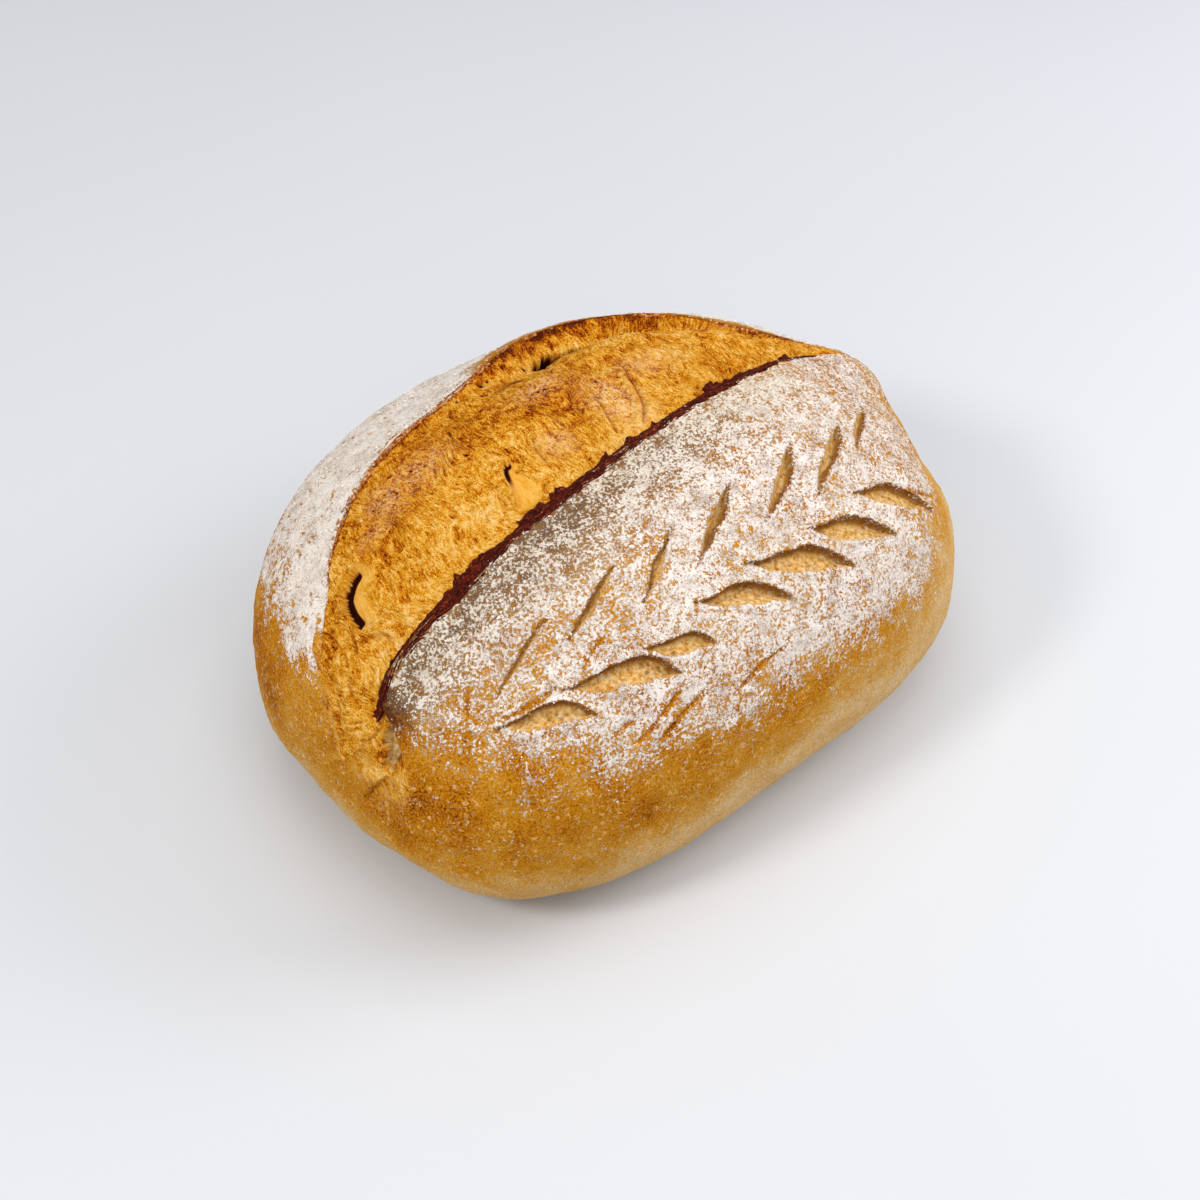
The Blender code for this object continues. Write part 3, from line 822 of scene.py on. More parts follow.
def makeNearCrust():
    s = nearCrustSettings
    stations = evenStations(s["rings"], 0, 180, 62, (34, 164, 0.7))
    ear = earTurn(stations)
    bottom, foot = np.full(len(ear), -90.0), np.full(len(ear), -52.0)
    outer = np.concatenate([evenTurns(stations, bottom, foot, s["under"]),
                            evenTurns(stations, foot, ear, s["outer"], (10, 28, 1.0))], axis=1)
    station = np.broadcast_to(stations[:, None], outer.shape)
    skin = flapPoint(station, outer)
    # The ear's band runs on over the crown, then the wall goes down inside the loaf.
    share = np.arange(s["band"]) / (s["band"] - 1)
    bandStation = np.broadcast_to(stations[:, None], (len(stations), s["band"]))
    bandTurn = np.broadcast_to(ear[:, None], bandStation.shape)
    width = bandWidth(stations)[:, None]
    crown = flapLift(bandStation, bandTurn) - 0.16 * width * share**2 - 0.25 * width * smooth(share, 0.7, 1.0)
    band = lifted(bandStation, bandTurn, crown, width * share * 0.94)
    bottomLine = skinPoint(stations, bottom)
    bottomLine[:, 2] = np.maximum(bottomLine[:, 2], 0.0)
    grid = np.concatenate([skin, band, wallTo(band[:, -1], bottomLine, s["wall"])], axis=1)
    grid[..., 2] = np.maximum(grid[..., 2], 0.0)
    columns = outer.shape[1]
    turn = np.full(grid.shape[:2], 90.0)
    turn[:, :columns] = outer
    turn[:, columns : columns + s["band"]] = bandTurn
    station = np.broadcast_to(stations[:, None], turn.shape)
    onSkin = np.zeros(grid.shape[:2])
    onSkin[:, :columns] = 1.0
    onSkin[:, columns : columns + s["band"]] = np.linspace(1, 0.2, s["band"])
    fromEar = ear[:, None] - turn

    relief = crustRelief(grid) + 0.3 * mm * blisters(grid, 7 * mm, 6, 0.35) * smooth(-turn, -30, 0)
    cut, dark, line = np.zeros(turn.shape), np.zeros(turn.shape), np.zeros(turn.shape)
    for cuts, side in ((s["lowerCuts"], 1), (s["leftCuts"], 1), (s["rightCuts"], -1)):
        for one in cuts:
            lift, opened, shaded, edge = leafCut(grid, one, side)
            relief = relief * (1 - 0.5 * opened) + lift
            cut, dark, line = np.maximum(cut, opened), np.maximum(dark, shaded), np.maximum(line, edge)
    crease = np.zeros(turn.shape)
    for one in s["creases"]:
        lift, mark = groove(grid, flapPoint, one, 0.7 * mm, 0.8 * mm)
        relief, crease = relief + lift, np.maximum(crease, mark)
    # The torn end at the left: the flap's edge stands proud, and the pocket below it is deep and pale, with painted
    # shade along one wall.
    torn = tornShare(grid, station, turn)
    flow = strandFlow(grid, station, columns)
    strands = lumps(flow * np.array([1.0, 0.45, 1.0]), 1.5 * mm, 83, 2)
    relief = relief + torn * (0.28 * mm * strands) - 1.7 * mm * stepAtFlap(station, turn)
    relief = relief + torn * wrinkles(grid, skinPoint, [(152, 78), (154.6, 67), (158, 60), (161, 52)], 0.3 * mm,
                                      2.0 * mm, 4.5 * mm)
    sheet, _, _ = ledge(grid, skinPoint, s["sheetEdge"], 1.3 * mm, 6 * mm, 1, 0.7 * mm, 0.5 * mm)
    deep, pocket, across = trench(grid, skinPoint, s["pocket"], 4.2 * mm, 2.3 * mm, 0.9 * mm)
    relief = relief * (1 - 0.7 * pocket) + sheet + deep + 0.5 * mm * pocket * lumps(grid, 3 * mm, 93, 2)
    onTop = onSkin * smooth(grid[..., 2], 0.0, 4 * mm)
    onTop = onTop * (1 - smooth(station, 158, 165) * smooth(-fromEar, -7, -1))
    normals = gridNormals(grid)
    grid = grid + normals * (relief * onTop)[..., None]
    grid[..., 2] = np.maximum(grid[..., 2], 0.0)
    grid[0], grid[-1] = grid[1].mean(axis=0), grid[-2].mean(axis=0)

    flour = nearFlour(grid, station, turn) * onSkin
    flour = flour * (1 - 0.95 * cut) * (1 - 0.6 * line) * (1 - torn) * (1 - pocket)
    flour = flour - 0.6 * crease
    nearEar = hump(fromEar / 9.0) * smooth(station, 38, 60)
    sooty = hump((fromEar - 3) / 9.0) * smooth(station, 52, 90) * smooth(-station, -158, -150)
    grey = hump(fromEar / 11.0) * smooth(station, 92, 112) * smooth(-station, -158, -150) * smooth(lumps(grid, 12 * mm, 99, 2), -0.5, 0.4)
    thinner = smooth(station, 88, 112) * smooth(-fromEar, -40, -20)
    flour = flour - 0.06 * sooty - 0.10 * grey - 0.13 * thinner
    corner = hump((station - 152.6) / 3.0) * smooth(fromEar, -3, 0) * smooth(-fromEar, -18, -5)
    flour = flour - 0.30 * corner
    # Painted shade: darker in the gaps between the torn strands, on top of the toasting.
    strandGapShade = 0.3 * smooth(-strands, 0.3, 1.0)
    toast = 0.42 + 0.13 * lumps(flow, 9 * mm, 101, 2) + strandGapShade
    # The dark brown layer here is painted shadow under each leaf cut's lip, painted shade at each cut's steep wall and
    # along one wall of the pocket, plus the real char of the flap's corner. The crumb colour is held back where the
    # wall's shade is painted.
    piece = addSleeve("nearCrust", grid, flour=flour, bake=baking(grid, station, turn) + 0.2 * crease + 0.5 * corner,
                      torn=torn * (1 - smooth(pocket, 0.4, 0.9)), toast=toast, cut=cut * (1 - 0.8 * dark),
                      singe=np.clip(0.8 * line + 0.30 * dark * (1 - line) + 0.8 * pocket * smooth(across, -0.1, 0.8)
                                    + 0.55 * corner * smooth(strands, -0.4, 0.3), 0, 0.9),
                      char=np.clip(sooty * 0.9 + grey * 0.6 - 0.6 * corner, 0, 1), warm=nearEar,
                      pale=smooth(pocket, 0.3, 0.8), flow=flow)
    finishPiece(piece, crustMaterial)
    return grid, normals, flour


# The far crust: the torn lip, the floured far flap and the far side
farCrustSettings = {
    "rings": 390,
    "outer": 228,
    "under": 8,
    "wall": 12,
    "flourEdge": [(-120, 82), (-114, 76), (-100, 70), (-60, 66), (0, 62), (60, 66), (95, 74), (125, 84)],
    "ovalPits": 150,
}


def makeFarCrust():
    s = farCrustSettings
    stations = evenStations(s["rings"], 0, 180, 118)
    lip = lipTurn(stations)
    foot, bottom = np.full(len(lip), 232.0), np.full(len(lip), 270.0)
    outer = np.concatenate([evenTurns(stations, lip, foot, s["outer"]),
                            evenTurns(stations, foot, bottom, s["under"])], axis=1)
    station = np.broadcast_to(stations[:, None], outer.shape)
    open_ = between(station, f["openingRight"], f["openingLeft"])
    proud = open_ * smooth(-station, -148, -134)  # at the left end the dough runs on without a step
    fromLip = outer - lip[:, None]
    skin = lifted(station, outer, f["lipLift"] * hump(fromLip / 7) * proud)
    bottomLine = skinPoint(stations, bottom)
    bottomLine[:, 2] = np.maximum(bottomLine[:, 2], 0.0)
    inner = wallTo(skin[:, 0] - 0.6 * mm * outward(skinPoint, stations, lip)[1] * open_[:, :1], bottomLine,
                   s["wall"])[:, ::-1]
    grid = np.concatenate([skin, bottomLine[:, None, :], inner], axis=1)
    grid[..., 2] = np.maximum(grid[..., 2], 0.0)
    columns = outer.shape[1]
    turn = np.full(grid.shape[:2], 90.0)
    turn[:, :columns] = outer
    station = np.broadcast_to(stations[:, None], turn.shape)
    onSkin = np.zeros(grid.shape[:2])
    onSkin[:, :columns] = 1.0
    fromLip = turn - lip[:, None]
    meeting = smooth(station, 140, 150)

    relief = crustRelief(grid) + 0.3 * mm * blisters(grid, 7 * mm, 6, 0.35) * smooth(turn, 170, 200)
    random = np.random.default_rng(4)
    mark = np.zeros(turn.shape)
    for k in range(s["ovalPits"]):
        place = random.uniform(62, 156), random.uniform(98, 165)
        if place[1] < lipTurn(np.array(place[0])) + 3:
            continue
        centre = skinPoint(np.array(place[0]), np.array(place[1]))
        delta = (grid - centre) / (np.array([0.8, 1.5, 1.2]) * random.uniform(0.35, 0.8) * mm)
        mark = np.maximum(mark, hump(np.linalg.norm(delta, axis=-1)))
    relief = relief - 0.5 * mm * mark
    edged = smooth(-fromLip + 3 * lumps(grid, 6 * mm, 177, 2), -8, -2) * smooth(station, 149, 156)
    torn = np.maximum(tornShare(grid, station, turn), edged * onSkin)
    flow = strandFlow(grid, station, 0)
    strands = lumps(flow * np.array([1.0, 0.45, 1.0]), 1.5 * mm, 83, 2)
    relief = relief * (1 - meeting * smooth(-fromLip, -6, -1)) + torn * 0.28 * mm * strands
    # Thin layers beside the lip, where the crust tore in sheets
    layered = smooth(station, 88, 98) * smooth(-station, -128, -114) * smooth(fromLip, -0.5, 0.5)
    fromLipMm = np.linalg.norm(grid - grid[:, :1], axis=-1) / mm
    sheets = layered * hump((fromLipMm - 1.5) / 2.6) * np.cos(2 * np.pi * fromLipMm / 1.5 + 2 * noise(grid, 9 * mm, 175))
    relief = relief + 0.35 * mm * sheets
    onTop = onSkin * smooth(grid[..., 2], 0.0, 4 * mm)
    normals = gridNormals(grid)
    grid = grid + normals * (relief * onTop)[..., None]
    grid[..., 2] = np.maximum(grid[..., 2], 0.0)
    grid[0], grid[-1] = grid[1].mean(axis=0), grid[-2].mean(axis=0)

    edge = np.interp(grid[..., 0] / mm, *np.array(s["flourEdge"], float).T) * mm
    z = grid[..., 2] + 6 * mm * lumps(grid, 14 * mm, 62, 2) + 5 * mm * lumps(grid, 5 * mm, 64, 2)
    heavy = smooth(z - edge, -12 * mm, 20 * mm)
    flour = (-0.10 + 1.16 * heavy + 0.10 * lumps(grid, 9 * mm, 72, 3) * heavy) * smooth(z - edge, -28 * mm, -8 * mm)
    flour = flour * smooth(turn, 86, 91) * (1 - smooth(torn, 0.05, 0.3)) * onSkin
    bare = smooth(-station, -98, -90) * smooth(fromLip, -1, 0) * smooth(-fromLip, -9, -5) * smooth(station, 36, 44)
    flour = flour * (1 - 0.8 * bare) - 1.3 * mark - 0.5 * smooth(-fromLip, -0.9, -0.3) * proud[:, :1]
    flour = flour * smooth(station, 22, 40) - 0.7 * smooth(-sheets, 0.1, 0.6)
    # The last term is painted shade, darker in the gaps between the torn strands.
    toast = 0.42 + 0.13 * lumps(flow, 9 * mm, 101, 2) + 0.3 * smooth(-strands, 0.3, 1.0)
    blank = np.zeros(turn.shape)
    rim = hump(fromLip / 2.2) * open_[:, :1]
    # The dark brown layer here is a dark line painted along the very edge of the lip, where it meets the dough.
    piece = addSleeve("farCrust", grid, flour=flour, bake=baking(grid, station, turn) + 0.14 * rim, torn=torn,
                      toast=toast, cut=blank, singe=0.35 * smooth(-fromLip, -0.8, -0.2) * proud[:, :1], char=blank,
                      warm=0.35 * smooth(grid[..., 2], 70 * mm, 100 * mm), pale=blank, flow=flow)
    finishPiece(piece, crustMaterial)
    return grid, normals, flour


# The risen dough that fills the opening
doughSettings = {
    "rings": 600,
    "top": 150,
    "under": 10,
    "thickness": 9 * mm,
    "crest": [(33, 92), (57, 92.7), (65, 95), (73, 97), (82, 99), (92, 99.5), (99, 104), (107, 105.5), (113, 105),
              (123, 100), (137, 90), (150, 82), (170, 64)],
    "folds": [  # deep creases across the dough: points, depth and width in mm
        ([(77.6, 99.4), (78.4, 97.1), (80.0, 92.8), (81.2, 90.3), (83.6, 87.9), (86.4, 85)], 1.7, 0.9),
        ([(86.1, 96.1), (86.6, 92.5), (88.2, 89.4), (88.7, 86.8)], 0.9, 0.7),
        ([(146.8, 89.0), (147.6, 86.6), (149.6, 83.6)], 1.6, 0.8),
        ([(150.6, 88), (151.4, 85.6), (152.4, 83.2)], 1.6, 0.8),
        ([(154.4, 82.2), (155.6, 80), (156.4, 77.4)], 1.4, 0.8),
        ([(96, 99), (94, 95), (94, 91)], 0.7, 0.8),
        ([(99, 94.5), (100.6, 91), (101.6, 87)], 0.8, 0.7),
        ([(66, 94), (66.5, 91), (68, 88)], 0.7, 0.7),
        ([(117, 107.4), (119, 106.2), (121, 105.6)], 1.0, 0.7),
    ],
    "wedge": [(112.0, 83.4), (110.0, 86.5), (108.6, 88.6), (107.8, 90.5), (106.6, 92.3), (104.8, 92.3), (103.2, 90.6)],
    "slit": [(135.4, 97.6), (137.6, 97.0), (140.6, 96.4), (143.4, 94.6), (144.8, 91.5), (145.4, 88.6), (145.8, 86.6)],
    "lobe": [(146.6, 86.6), (145.0, 85.2), (142.4, 83.6), (141.0, 80.0)],
    "cave": [(83.4, 118.0), (80.6, 119.6), (78.4, 119.6), (76, 119.2), (74, 119.0), (72, 119.4)],
    "smallCaves": [  # station, turn, depth and reach in mm
        (94.6, 117.3, 3.6, 1.5), (93.0, 117.8, 2.6, 1.0), (100.8, 114.6, 2.0, 0.9), (69.0, 117.6, 3.0, 1.5),
        (64.5, 114, 2.2, 1.6), (109, 98, 1.4, 0.9), (120, 107.7, 1.8, 1.0), (117, 104.6, 1.4, 0.9),
        (96.6, 113.0, 1.6, 1.0), (88.5, 121.0, 1.6, 1.0), (85.4, 119.6, 1.8, 1.0),
    ],
    "dusty": [  # station, turn, reach along and round, strength
        (84.6, 92.5, 3.0, 5.5, 0.95), (116, 103, 5, 4, 0.6), (124, 103, 3.5, 4, 0.75), (91, 103, 4.5, 2.5, 0.7),
        (75, 97, 6, 3, 0.5), (97, 91, 2.5, 2.0, 0.7), (130, 99, 4, 2, 0.5),
    ],
}


def makeDough():
    s = doughSettings
    stations = evenStations(s["rings"], 30, 174, 95)
    ear, lip = earTurn(stations), lipTurn(stations)
    open_ = between(stations, f["openingRight"], f["openingLeft"])[:, None]
    closing = smooth(stations, 30, 36) * smooth(-stations, -171, -166)
    leftward = smooth(stations, 140, 151)[:, None]  # towards the left end the dough laps over both crusts
    atTip = smooth(stations, 150, 158)
    first = ear - 2.6 * atTip
    last = lip + 2.2 * np.maximum(closing, 1.4 * atTip)
    turns = evenTurns(stations, first, last, s["top"])
    share = (turns - ear[:, None]) / np.maximum(lip - ear, 1e-3)[:, None]
    station = np.broadcast_to(stations[:, None], turns.shape)
    lift = doughLift(station, share) + 0.55 * mm * leftward
    lift = lift - 1.7 * mm * stepAtFlap(station, turns) * smooth(-turns, -84, -70)
    top = lifted(station, turns, lift)
    fromEar = np.linalg.norm(top - top[:, :1], axis=-1)
    band = bandWidth(stations)[:, None]
    past, before = turns - lip[:, None], ear[:, None] - turns
    tuck = 4.2 * mm * smooth(band * 0.85 - fromEar, -1.0 * mm, 0.8 * mm) * smooth(band, 0.3 * mm, 3 * mm)
    tuck += 2.2 * mm * smooth(past, 0.1, 2.2) * (1 - leftward) + 1.6 * mm * smooth(past, 1.0, 2.2) * leftward
    tuck += 2.4 * mm * smooth(before, 1.4, 2.6) + 3.0 * mm * smooth(station, 170.5, 174)
    top = lifted(station, turns, lift - tuck)
    back = np.linspace(0.96, 0.04, s["under"])[None, :]
    underTurn = last[:, None] * back + first[:, None] * (1 - back)
    deep = s["thickness"] * (0.25 + 0.75 * open_) + 0 * underTurn
    underStation = np.broadcast_to(stations[:, None], underTurn.shape)
    underShare = (underTurn - ear[:, None]) / np.maximum(lip - ear, 1e-3)[:, None]
    under = lifted(underStation, underTurn, np.minimum(doughLift(underStation, underShare), 0) - deep)
    grid = np.concatenate([top, under], axis=1)
    turn = np.concatenate([turns, underTurn], axis=1)
    shareAll = np.concatenate([share, 0 * underTurn], axis=1)
    station = np.broadcast_to(stations[:, None], turn.shape)
    live = np.zeros(turn.shape)
    live[:, : s["top"]] = np.where(band > 1 * mm, smooth(fromEar, band * 0.6, band + 1.0 * mm), 1.0)
    live[:, : s["top"]] *= smooth(-past, -0.2 - 1.0 * leftward, 1.0)

    flow = strandFlow(grid, station, 0)
    strands = lumps(flow * np.array([1.0, 0.45, 1.0]), 1.3 * mm, 83, 2)
    gashes = smooth(lumps(flow * np.array([1.0, 0.38, 1.0]), 2.6 * mm, 85, 2), 0.42, 0.85)
    crumbs = lumps(grid, 1.2 * mm, 86, 1)
    crest = np.interp(station, *np.array(s["crest"], float).T)
    onCrest = hump((turn - crest) / 8.0) * smooth(station, 74, 92) * smooth(-station, -150, -125)
    # shade: painted shade in the folds, the wedge, the slit, the caves and along the valley's bottom.
    shade = np.zeros(turn.shape)
    form = 0.9 * mm * lumps(grid, 24 * mm, 87, 2) + 0.40 * mm * lumps(grid, 8 * mm, 89, 2)
    # Each fold is also painted with shade along its bottom.
    for knots, depth, width in s["folds"]:
        lift, mark = groove(grid, doughPoint, knots, depth * mm, width * mm)
        puff = groove(grid, doughPoint, knots, -0.5 * depth * mm, 3.4 * width * mm)[0]
        form, shade = form + lift + puff, np.maximum(shade, 0.45 * mark**2)
    # The wedge-shaped hollow near the ear, and the long slit at the left with the lobe of dough beside it; shade is
    # painted into the wedge and the slit.
    wedge, hollow, along = ledge(grid, doughPoint, s["wedge"], 2.8 * mm, 7.5 * mm, -1, 0.5 * mm, 0.5 * mm)
    shade = np.maximum(shade, 0.9 * smooth(hollow, 0.88, 0.96) * smooth(along, 0.35, 0.55) * (hollow > 0))
    slit, slot, slotShare = ledge(grid, doughPoint, s["slit"], 3.4 * mm, 6.5 * mm, 1, 0.5 * mm, 0.5 * mm)
    shade = np.maximum(shade, 0.95 * smooth(slot, 0.74, 0.86) * smooth(slotShare, 0.05, 0.2))
    lobe, _, _ = ledge(grid, doughPoint, s["lobe"], 1.5 * mm, 6 * mm, -1, 0.7 * mm, 0.5 * mm)
    calm = np.maximum(smooth(hollow, 0.1, 0.5), smooth(slot, 0.02, 0.3))
    form = form * (1 - 0.8 * calm) + wedge + slit + lobe
    form = form + leftward * crustRelief(grid)
    form = form + wrinkles(grid, doughPoint, [(144, 93), (147.2, 88.5), (150.2, 83.5), (152, 77), (153.6, 70)],
                           0.40 * mm, 2.1 * mm, 6.5 * mm)
    # The long cave under the far lip is sunk and painted with shade.
    cave, opened, _ = trench(grid, doughPoint, s["cave"], 6.0 * mm, 2.7 * mm, 1.0 * mm, 1.3 * mm)
    form, shade = form + cave, np.maximum(shade, 0.95 * smooth(opened, 0.12, 0.5))
    # Painted shade along the valley's bottom, in broken patches.
    valleyShade = hump((shareAll - 0.79) / 0.05) * hump((station - 82) / 16) * smooth(lumps(grid, 6 * mm, 107, 3), -0.25, 0.25)
    shade = np.maximum(shade, 0.75 * valleyShade)
    # Each small cave is sunk and painted with shade.
    for k, (place, round_, depth, reach) in enumerate(s["smallCaves"]):
        hole = pit(grid, doughPoint, place, round_, 1.0, reach * mm, 300 + k)
        form, shade = form - depth * mm * hole, np.maximum(shade, 0.9 * smooth(hole, 0.25, 0.7))
    rough = (0.22 + 0.10 * onCrest) * mm * strands + 0.10 * mm * crumbs - 0.55 * mm * gashes
    relief = form + rough * (1 - 0.75 * calm)
    normals = gridNormals(grid)
    grid = grid + normals * (relief * live)[..., None]
    grid[0], grid[-1] = grid[1].mean(axis=0), grid[-2].mean(axis=0)

    toast = 0.44 + 0.10 * lumps(flow, 11 * mm, 103, 3) + 0.24 * onCrest + 0.05 * smooth(-station, -76, -60)
    # The gashes term darkens the sunken gashes and the strands term pales the raised strands: painted shade and painted
    # highlight.
    toast += 0.14 * gashes - 0.06 * strands + 0.12 * smooth(shareAll, 0.6, 0.9) * smooth(station, 104, 124)
    wallHigh = smooth(shareAll, 0.86, 0.97) * hump((station - 76) / 22)
    toast += 0.40 * wallHigh + 0.16 * wallHigh * lumps(grid, 5 * mm, 106, 2)
    toast += 0.22 * smooth(shareAll, 0.93, 1.0) * smooth(-station, -112, -84) * smooth(lumps(grid, 6 * mm, 104, 2), -0.4, 0.4)
    toast += 0.16 * smooth(shareAll, 0.97, 1.0) * (1 - leftward)
    toast += 0.20 * hump((shareAll - 0.02) / 0.05) * smooth(lumps(grid, 7 * mm, 105, 2), -0.2, 0.5)
    toast -= 0.10 * hump((station - 132) / 13)
    toast = toast * (1 - 0.6 * calm) + 0.14 * calm
    dusty = np.zeros(turn.shape)
    for place, round_, along, reach, strength in s["dusty"]:
        dusty = np.maximum(dusty, strength * hump((station - place) / along) * hump((turn - round_) / reach))
    piece = addSleeve("burstDough", grid, toast=toast, dusty=dusty, shade=shade, calm=calm, flow=flow)
    finishPiece(piece, doughMaterial)


# The singed band along the ear: thin burnt layers with a crumbly far edge
earSettings = {"rings": 1100, "around": 48, "first": 38.5, "last": 158.0}


def makeSingedEar():
    s = earSettings
    stations = evenStations(s["rings"], s["first"], s["last"], 82)
    ear = earTurn(stations)
    width = bandWidth(stations) * smooth(stations, s["first"], s["first"] + 4) + 0.15 * mm
    angle = np.arange(s["around"]) / s["around"] * 2 * np.pi
    # Flat oval: near edge under the flour's edge, far edge against the dough
    across = 0.5 - 0.5 * np.cos(angle)
    upward = np.sin(angle)
    station = np.broadcast_to(stations[:, None], (len(stations), len(angle)))
    turn = np.broadcast_to(ear[:, None], station.shape)
    thick = np.minimum(1.5 * mm, 0.35 * width)[:, None]
    sag = 0.30 * width[:, None] * smooth(across, 0.35, 1.0)
    lift = flapLift(station, turn) - 0.10 * width[:, None] + thick * np.where(upward > 0, 0.55, 1.3) * upward - sag
    shift = width[:, None] * (across * 1.08 - 0.02)
    grid = lifted(station, turn, lift, shift)
    normals = gridNormals(grid)
    full = smooth(width, 0.3 * mm, 2.5 * mm)[:, None]
    edge = smooth(np.broadcast_to(across, station.shape), 0.5, 1.0)
    flow = strandFlow(grid, station, 0)
    crumbly = blisters(grid, 2.4 * mm, 123, 0.7) + 0.6 * lumps(grid, 1.5 * mm, 125, 2)
    clusters = smooth(lumps(np.stack([flow[..., 0], 0 * flow[..., 0], 0 * flow[..., 0]], axis=-1), 7 * mm, 127, 3),
                      -0.05, 0.45)
    sheets = np.cos(2 * np.pi * flow[..., 1] / (1.1 * mm) + 2.5 * noise(grid, 6 * mm, 129)) * (1 - edge)
    relief = (0.30 * mm * crumbly + 0.22 * mm * sheets + edge * clusters * (1.1 * mm + 0.8 * mm * crumbly)) * full
    grid = grid + normals * relief[..., None]
    grid[0], grid[-1] = grid[1].mean(axis=0), grid[-2].mean(axis=0)
    piece = addSleeve("singedEar", grid, flow=flow)
    finishPiece(piece, singedMaterial)


# The thin browned rim where the far crust tore away
rimSettings = {"rings": 700, "around": 16, "first": 42, "last": 146, "radius": 0.5 * mm}


def makeFarRim():
    s = rimSettings
    stations = evenStations(s["rings"], s["first"], s["last"], 112)
    lip = lipTurn(stations)
    angle = np.arange(s["around"]) / s["around"] * 2 * np.pi
    station = np.broadcast_to(stations[:, None], (len(stations), len(angle)))
    turn = np.broadcast_to(lip[:, None], station.shape)
    taper = between(stations, (s["first"], s["first"] + 6), (s["last"], s["last"] - 10))[:, None]
    start = lifted(stations, lip, 0 * lip)
    wave = 1 + 0.7 * lumps(start, 5 * mm, 131, 2)[:, None]
    radius = s["radius"] * taper * np.clip(wave, 0.2, 2.0)
    open_ = between(station, f["openingRight"], f["openingLeft"])
    lift = (f["lipLift"] - 0.7 * mm) * open_ + radius * np.sin(angle)
    grid = lifted(station, turn, lift, -radius * np.cos(angle) * 1.3 - 0.1 * mm)
    normals = gridNormals(grid)
    grid = grid + normals * (0.30 * mm * lumps(grid, 1.6 * mm, 133, 2) * taper)[..., None]
    grid[0], grid[-1] = grid[1].mean(axis=0), grid[-2].mean(axis=0)
    piece = addSleeve("farRim", grid)
    finishPiece(piece, rimMaterial)


# Many small copies of one model, laid on a surface
def scatterCopies(name, model, centres, normals, sizes, seed):
    random = np.random.default_rng(seed)
    verts = np.array([v.co for v in model.data.vertices])
    faces = np.array([p.vertices[:] for p in model.data.polygons])
    count = len(centres)
    a = unit(np.cross(normals, random.normal(size=(count, 3))))
    b = np.cross(normals, a)
    stretch = random.uniform(0.7, 1.3, (count, 3)) * sizes[:, None]
    placed = (centres[:, None, :] + verts[None, :, :1] * (a * stretch[:, :1])[:, None, :]
              + verts[None, :, 1:2] * (b * stretch[:, 1:2])[:, None, :]
              + verts[None, :, 2:] * (normals * stretch[:, 2:] * 0.7)[:, None, :])
    allFaces = (faces[None, :, :] + (np.arange(count) * len(verts))[:, None, None]).reshape(-1, faces.shape[1])
    mesh = bpy.data.meshes.new(name)
    mesh.from_pydata(placed.reshape(-1, 3), [], allFaces)
    mesh.update()
    piece = bpy.data.objects.new(name, mesh)
    bpy.context.scene.collection.objects.link(piece)
    bpy.data.objects.remove(model)
    return piece


def addGrainModel(detail):
    bpy.ops.object.select_all(action="DESELECT")
    bpy.ops.mesh.primitive_ico_sphere_add(subdivisions=detail, radius=1.0)
    return bpy.context.object


grainSettings = {"count": 9000, "small": 0.13 * mm, "large": 0.36 * mm}


def makeFlourGrains(sources):
    random = np.random.default_rng(12)
    centres, normals = [], []
    for grid, normal, flour in sources:
        chance = np.clip(flour, 0, 0.7) * (flour > 0.03) * smooth(grid[..., 2], 20 * mm, 50 * mm)
        chance = (chance / chance.sum()).ravel()
        chosen = random.choice(chance.size, grainSettings["count"] // 2, replace=False, p=chance)
        jitter = random.normal(size=(len(chosen), 3)) * 0.25 * mm
        normal = normal.reshape(-1, 3)[chosen]
        jitter -= normal * np.sum(jitter * normal, axis=1, keepdims=True)
        centres.append(grid.reshape(-1, 3)[chosen] + jitter)
        normals.append(normal)
    centres, normals = np.concatenate(centres), np.concatenate(normals)
    sizes = grainSettings["small"] + (grainSettings["large"] - grainSettings["small"]) * random.random(len(centres)) ** 3
    piece = scatterCopies("flourGrains", addGrainModel(1), centres, normals, sizes, 13)
    finishPiece(piece, flourMaterial)


nearSurface = makeNearCrust()
farSurface = makeFarCrust()
makeDough()
makeSingedEar()
makeFarRim()
makeFlourGrains([nearSurface, farSurface])
print("loaf built")


# Floor, light and camera
studio = {
    "floorTone": (207, 208, 210),
    "worldTone": (228, 235, 246),
    "worldStrength": 0.46,
    "azimuth": -40.0,
    "elevation": 45.0,
    "distance": 0.812,
    "lens": 70.0,
    "aim": (-0.0030, -0.0021, 0.0406),
    "lamps": [  # name, place, size, power, tone; all point at the loaf
        ("frontSoftbox", (-0.50, -0.72, 1.15), 1.2, 6.3, (255, 253, 250)),
        ("leftSoftbox", (-1.06, 0.05, 1.10), 0.30, 8.5, (255, 252, 248)),
        ("topSoftbox", (0.15, 0.1, 1.9), 1.5, 13.0, (255, 255, 255)),
        ("rightSoftbox", (0.80, -0.44, 0.60), 0.60, 6.0, (252, 252, 255)),
    ],
}


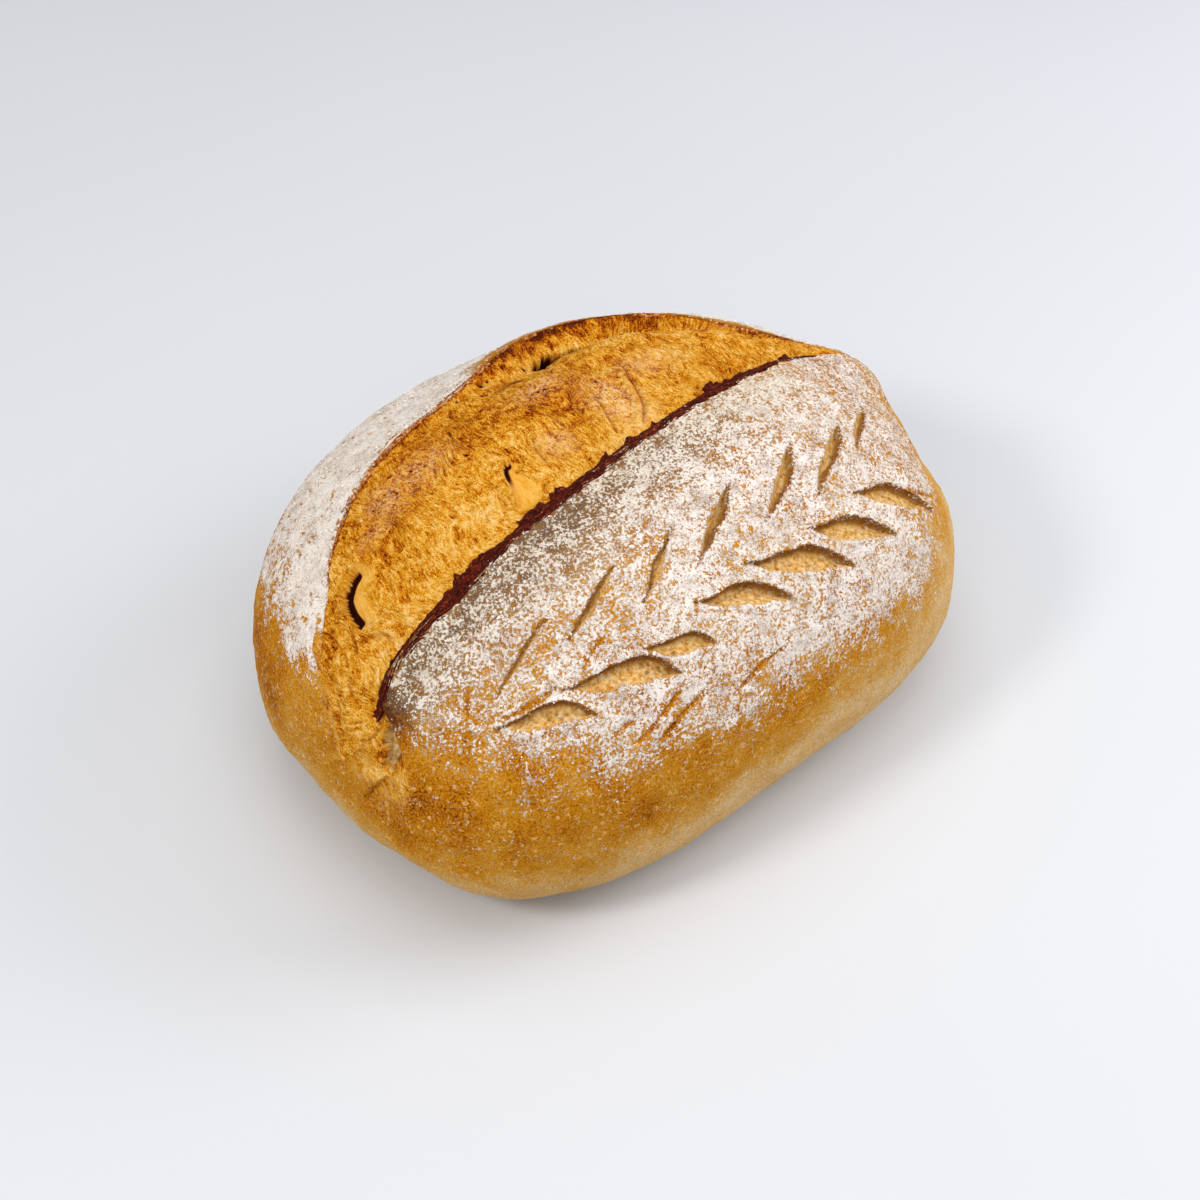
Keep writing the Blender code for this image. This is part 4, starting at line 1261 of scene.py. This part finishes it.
def makeStudio():
    bpy.ops.object.select_all(action="DESELECT")
    bpy.ops.mesh.primitive_plane_add(size=8.0, location=(0, 0, -0.0002))
    floor = bpy.context.object
    floor.name = "paleTable"
    material, tree, shader = startMaterial("paleTable", 0.6, 0.2)
    place = addNode(tree, "TexCoord").outputs["Object"]
    shade = speckle(tree, place, 3.0, 2.0, 0.5)
    red, green, blue = studio["floorTone"]
    colour = ramp(tree, shade, [(0.3, (red - 3, green - 3, blue - 3)), (0.7, (red, green, blue))])
    tree.links.new(colour, shader.inputs["Base Color"])
    floor.data.materials.append(material)
    world = bpy.data.worlds.new("paleRoom")
    bpy.context.scene.world = world
    world.use_nodes = True
    world.node_tree.nodes["Background"].inputs["Color"].default_value = tone(*studio["worldTone"])
    world.node_tree.nodes["Background"].inputs["Strength"].default_value = studio["worldStrength"]
    for name, place, width, power, colour in studio["lamps"]:
        lamp = bpy.data.lights.new(name, "AREA")
        lamp.size = width
        lamp.energy = power
        lamp.color = tone(*colour)[:3]
        holder = bpy.data.objects.new(name, lamp)
        holder.location = place
        toLoaf = Vector((0, 0, 0.05)) - Vector(place)
        holder.rotation_euler = toLoaf.to_track_quat("-Z", "Y").to_euler()
        bpy.context.scene.collection.objects.link(holder)


def makeCamera():
    azimuth, elevation = (math.radians(studio[key]) for key in ("azimuth", "elevation"))
    back = Vector((math.sin(azimuth) * math.cos(elevation), -math.cos(azimuth) * math.cos(elevation),
                   math.sin(elevation)))
    right = Vector((math.cos(azimuth), math.sin(azimuth), 0.0))
    camera = bpy.data.cameras.new("camera")
    camera.lens = studio["lens"]
    camera.sensor_width = 36.0
    holder = bpy.data.objects.new("camera", camera)
    turned = Matrix((right, back.cross(right), back)).transposed().to_4x4()
    holder.matrix_world = Matrix.Translation(Vector(studio["aim"]) + back * studio["distance"]) @ turned
    bpy.context.scene.collection.objects.link(holder)
    bpy.context.scene.camera = holder


makeStudio()
makeCamera()
bpy.context.scene.view_settings.view_transform = "Standard"
print("studio ready")
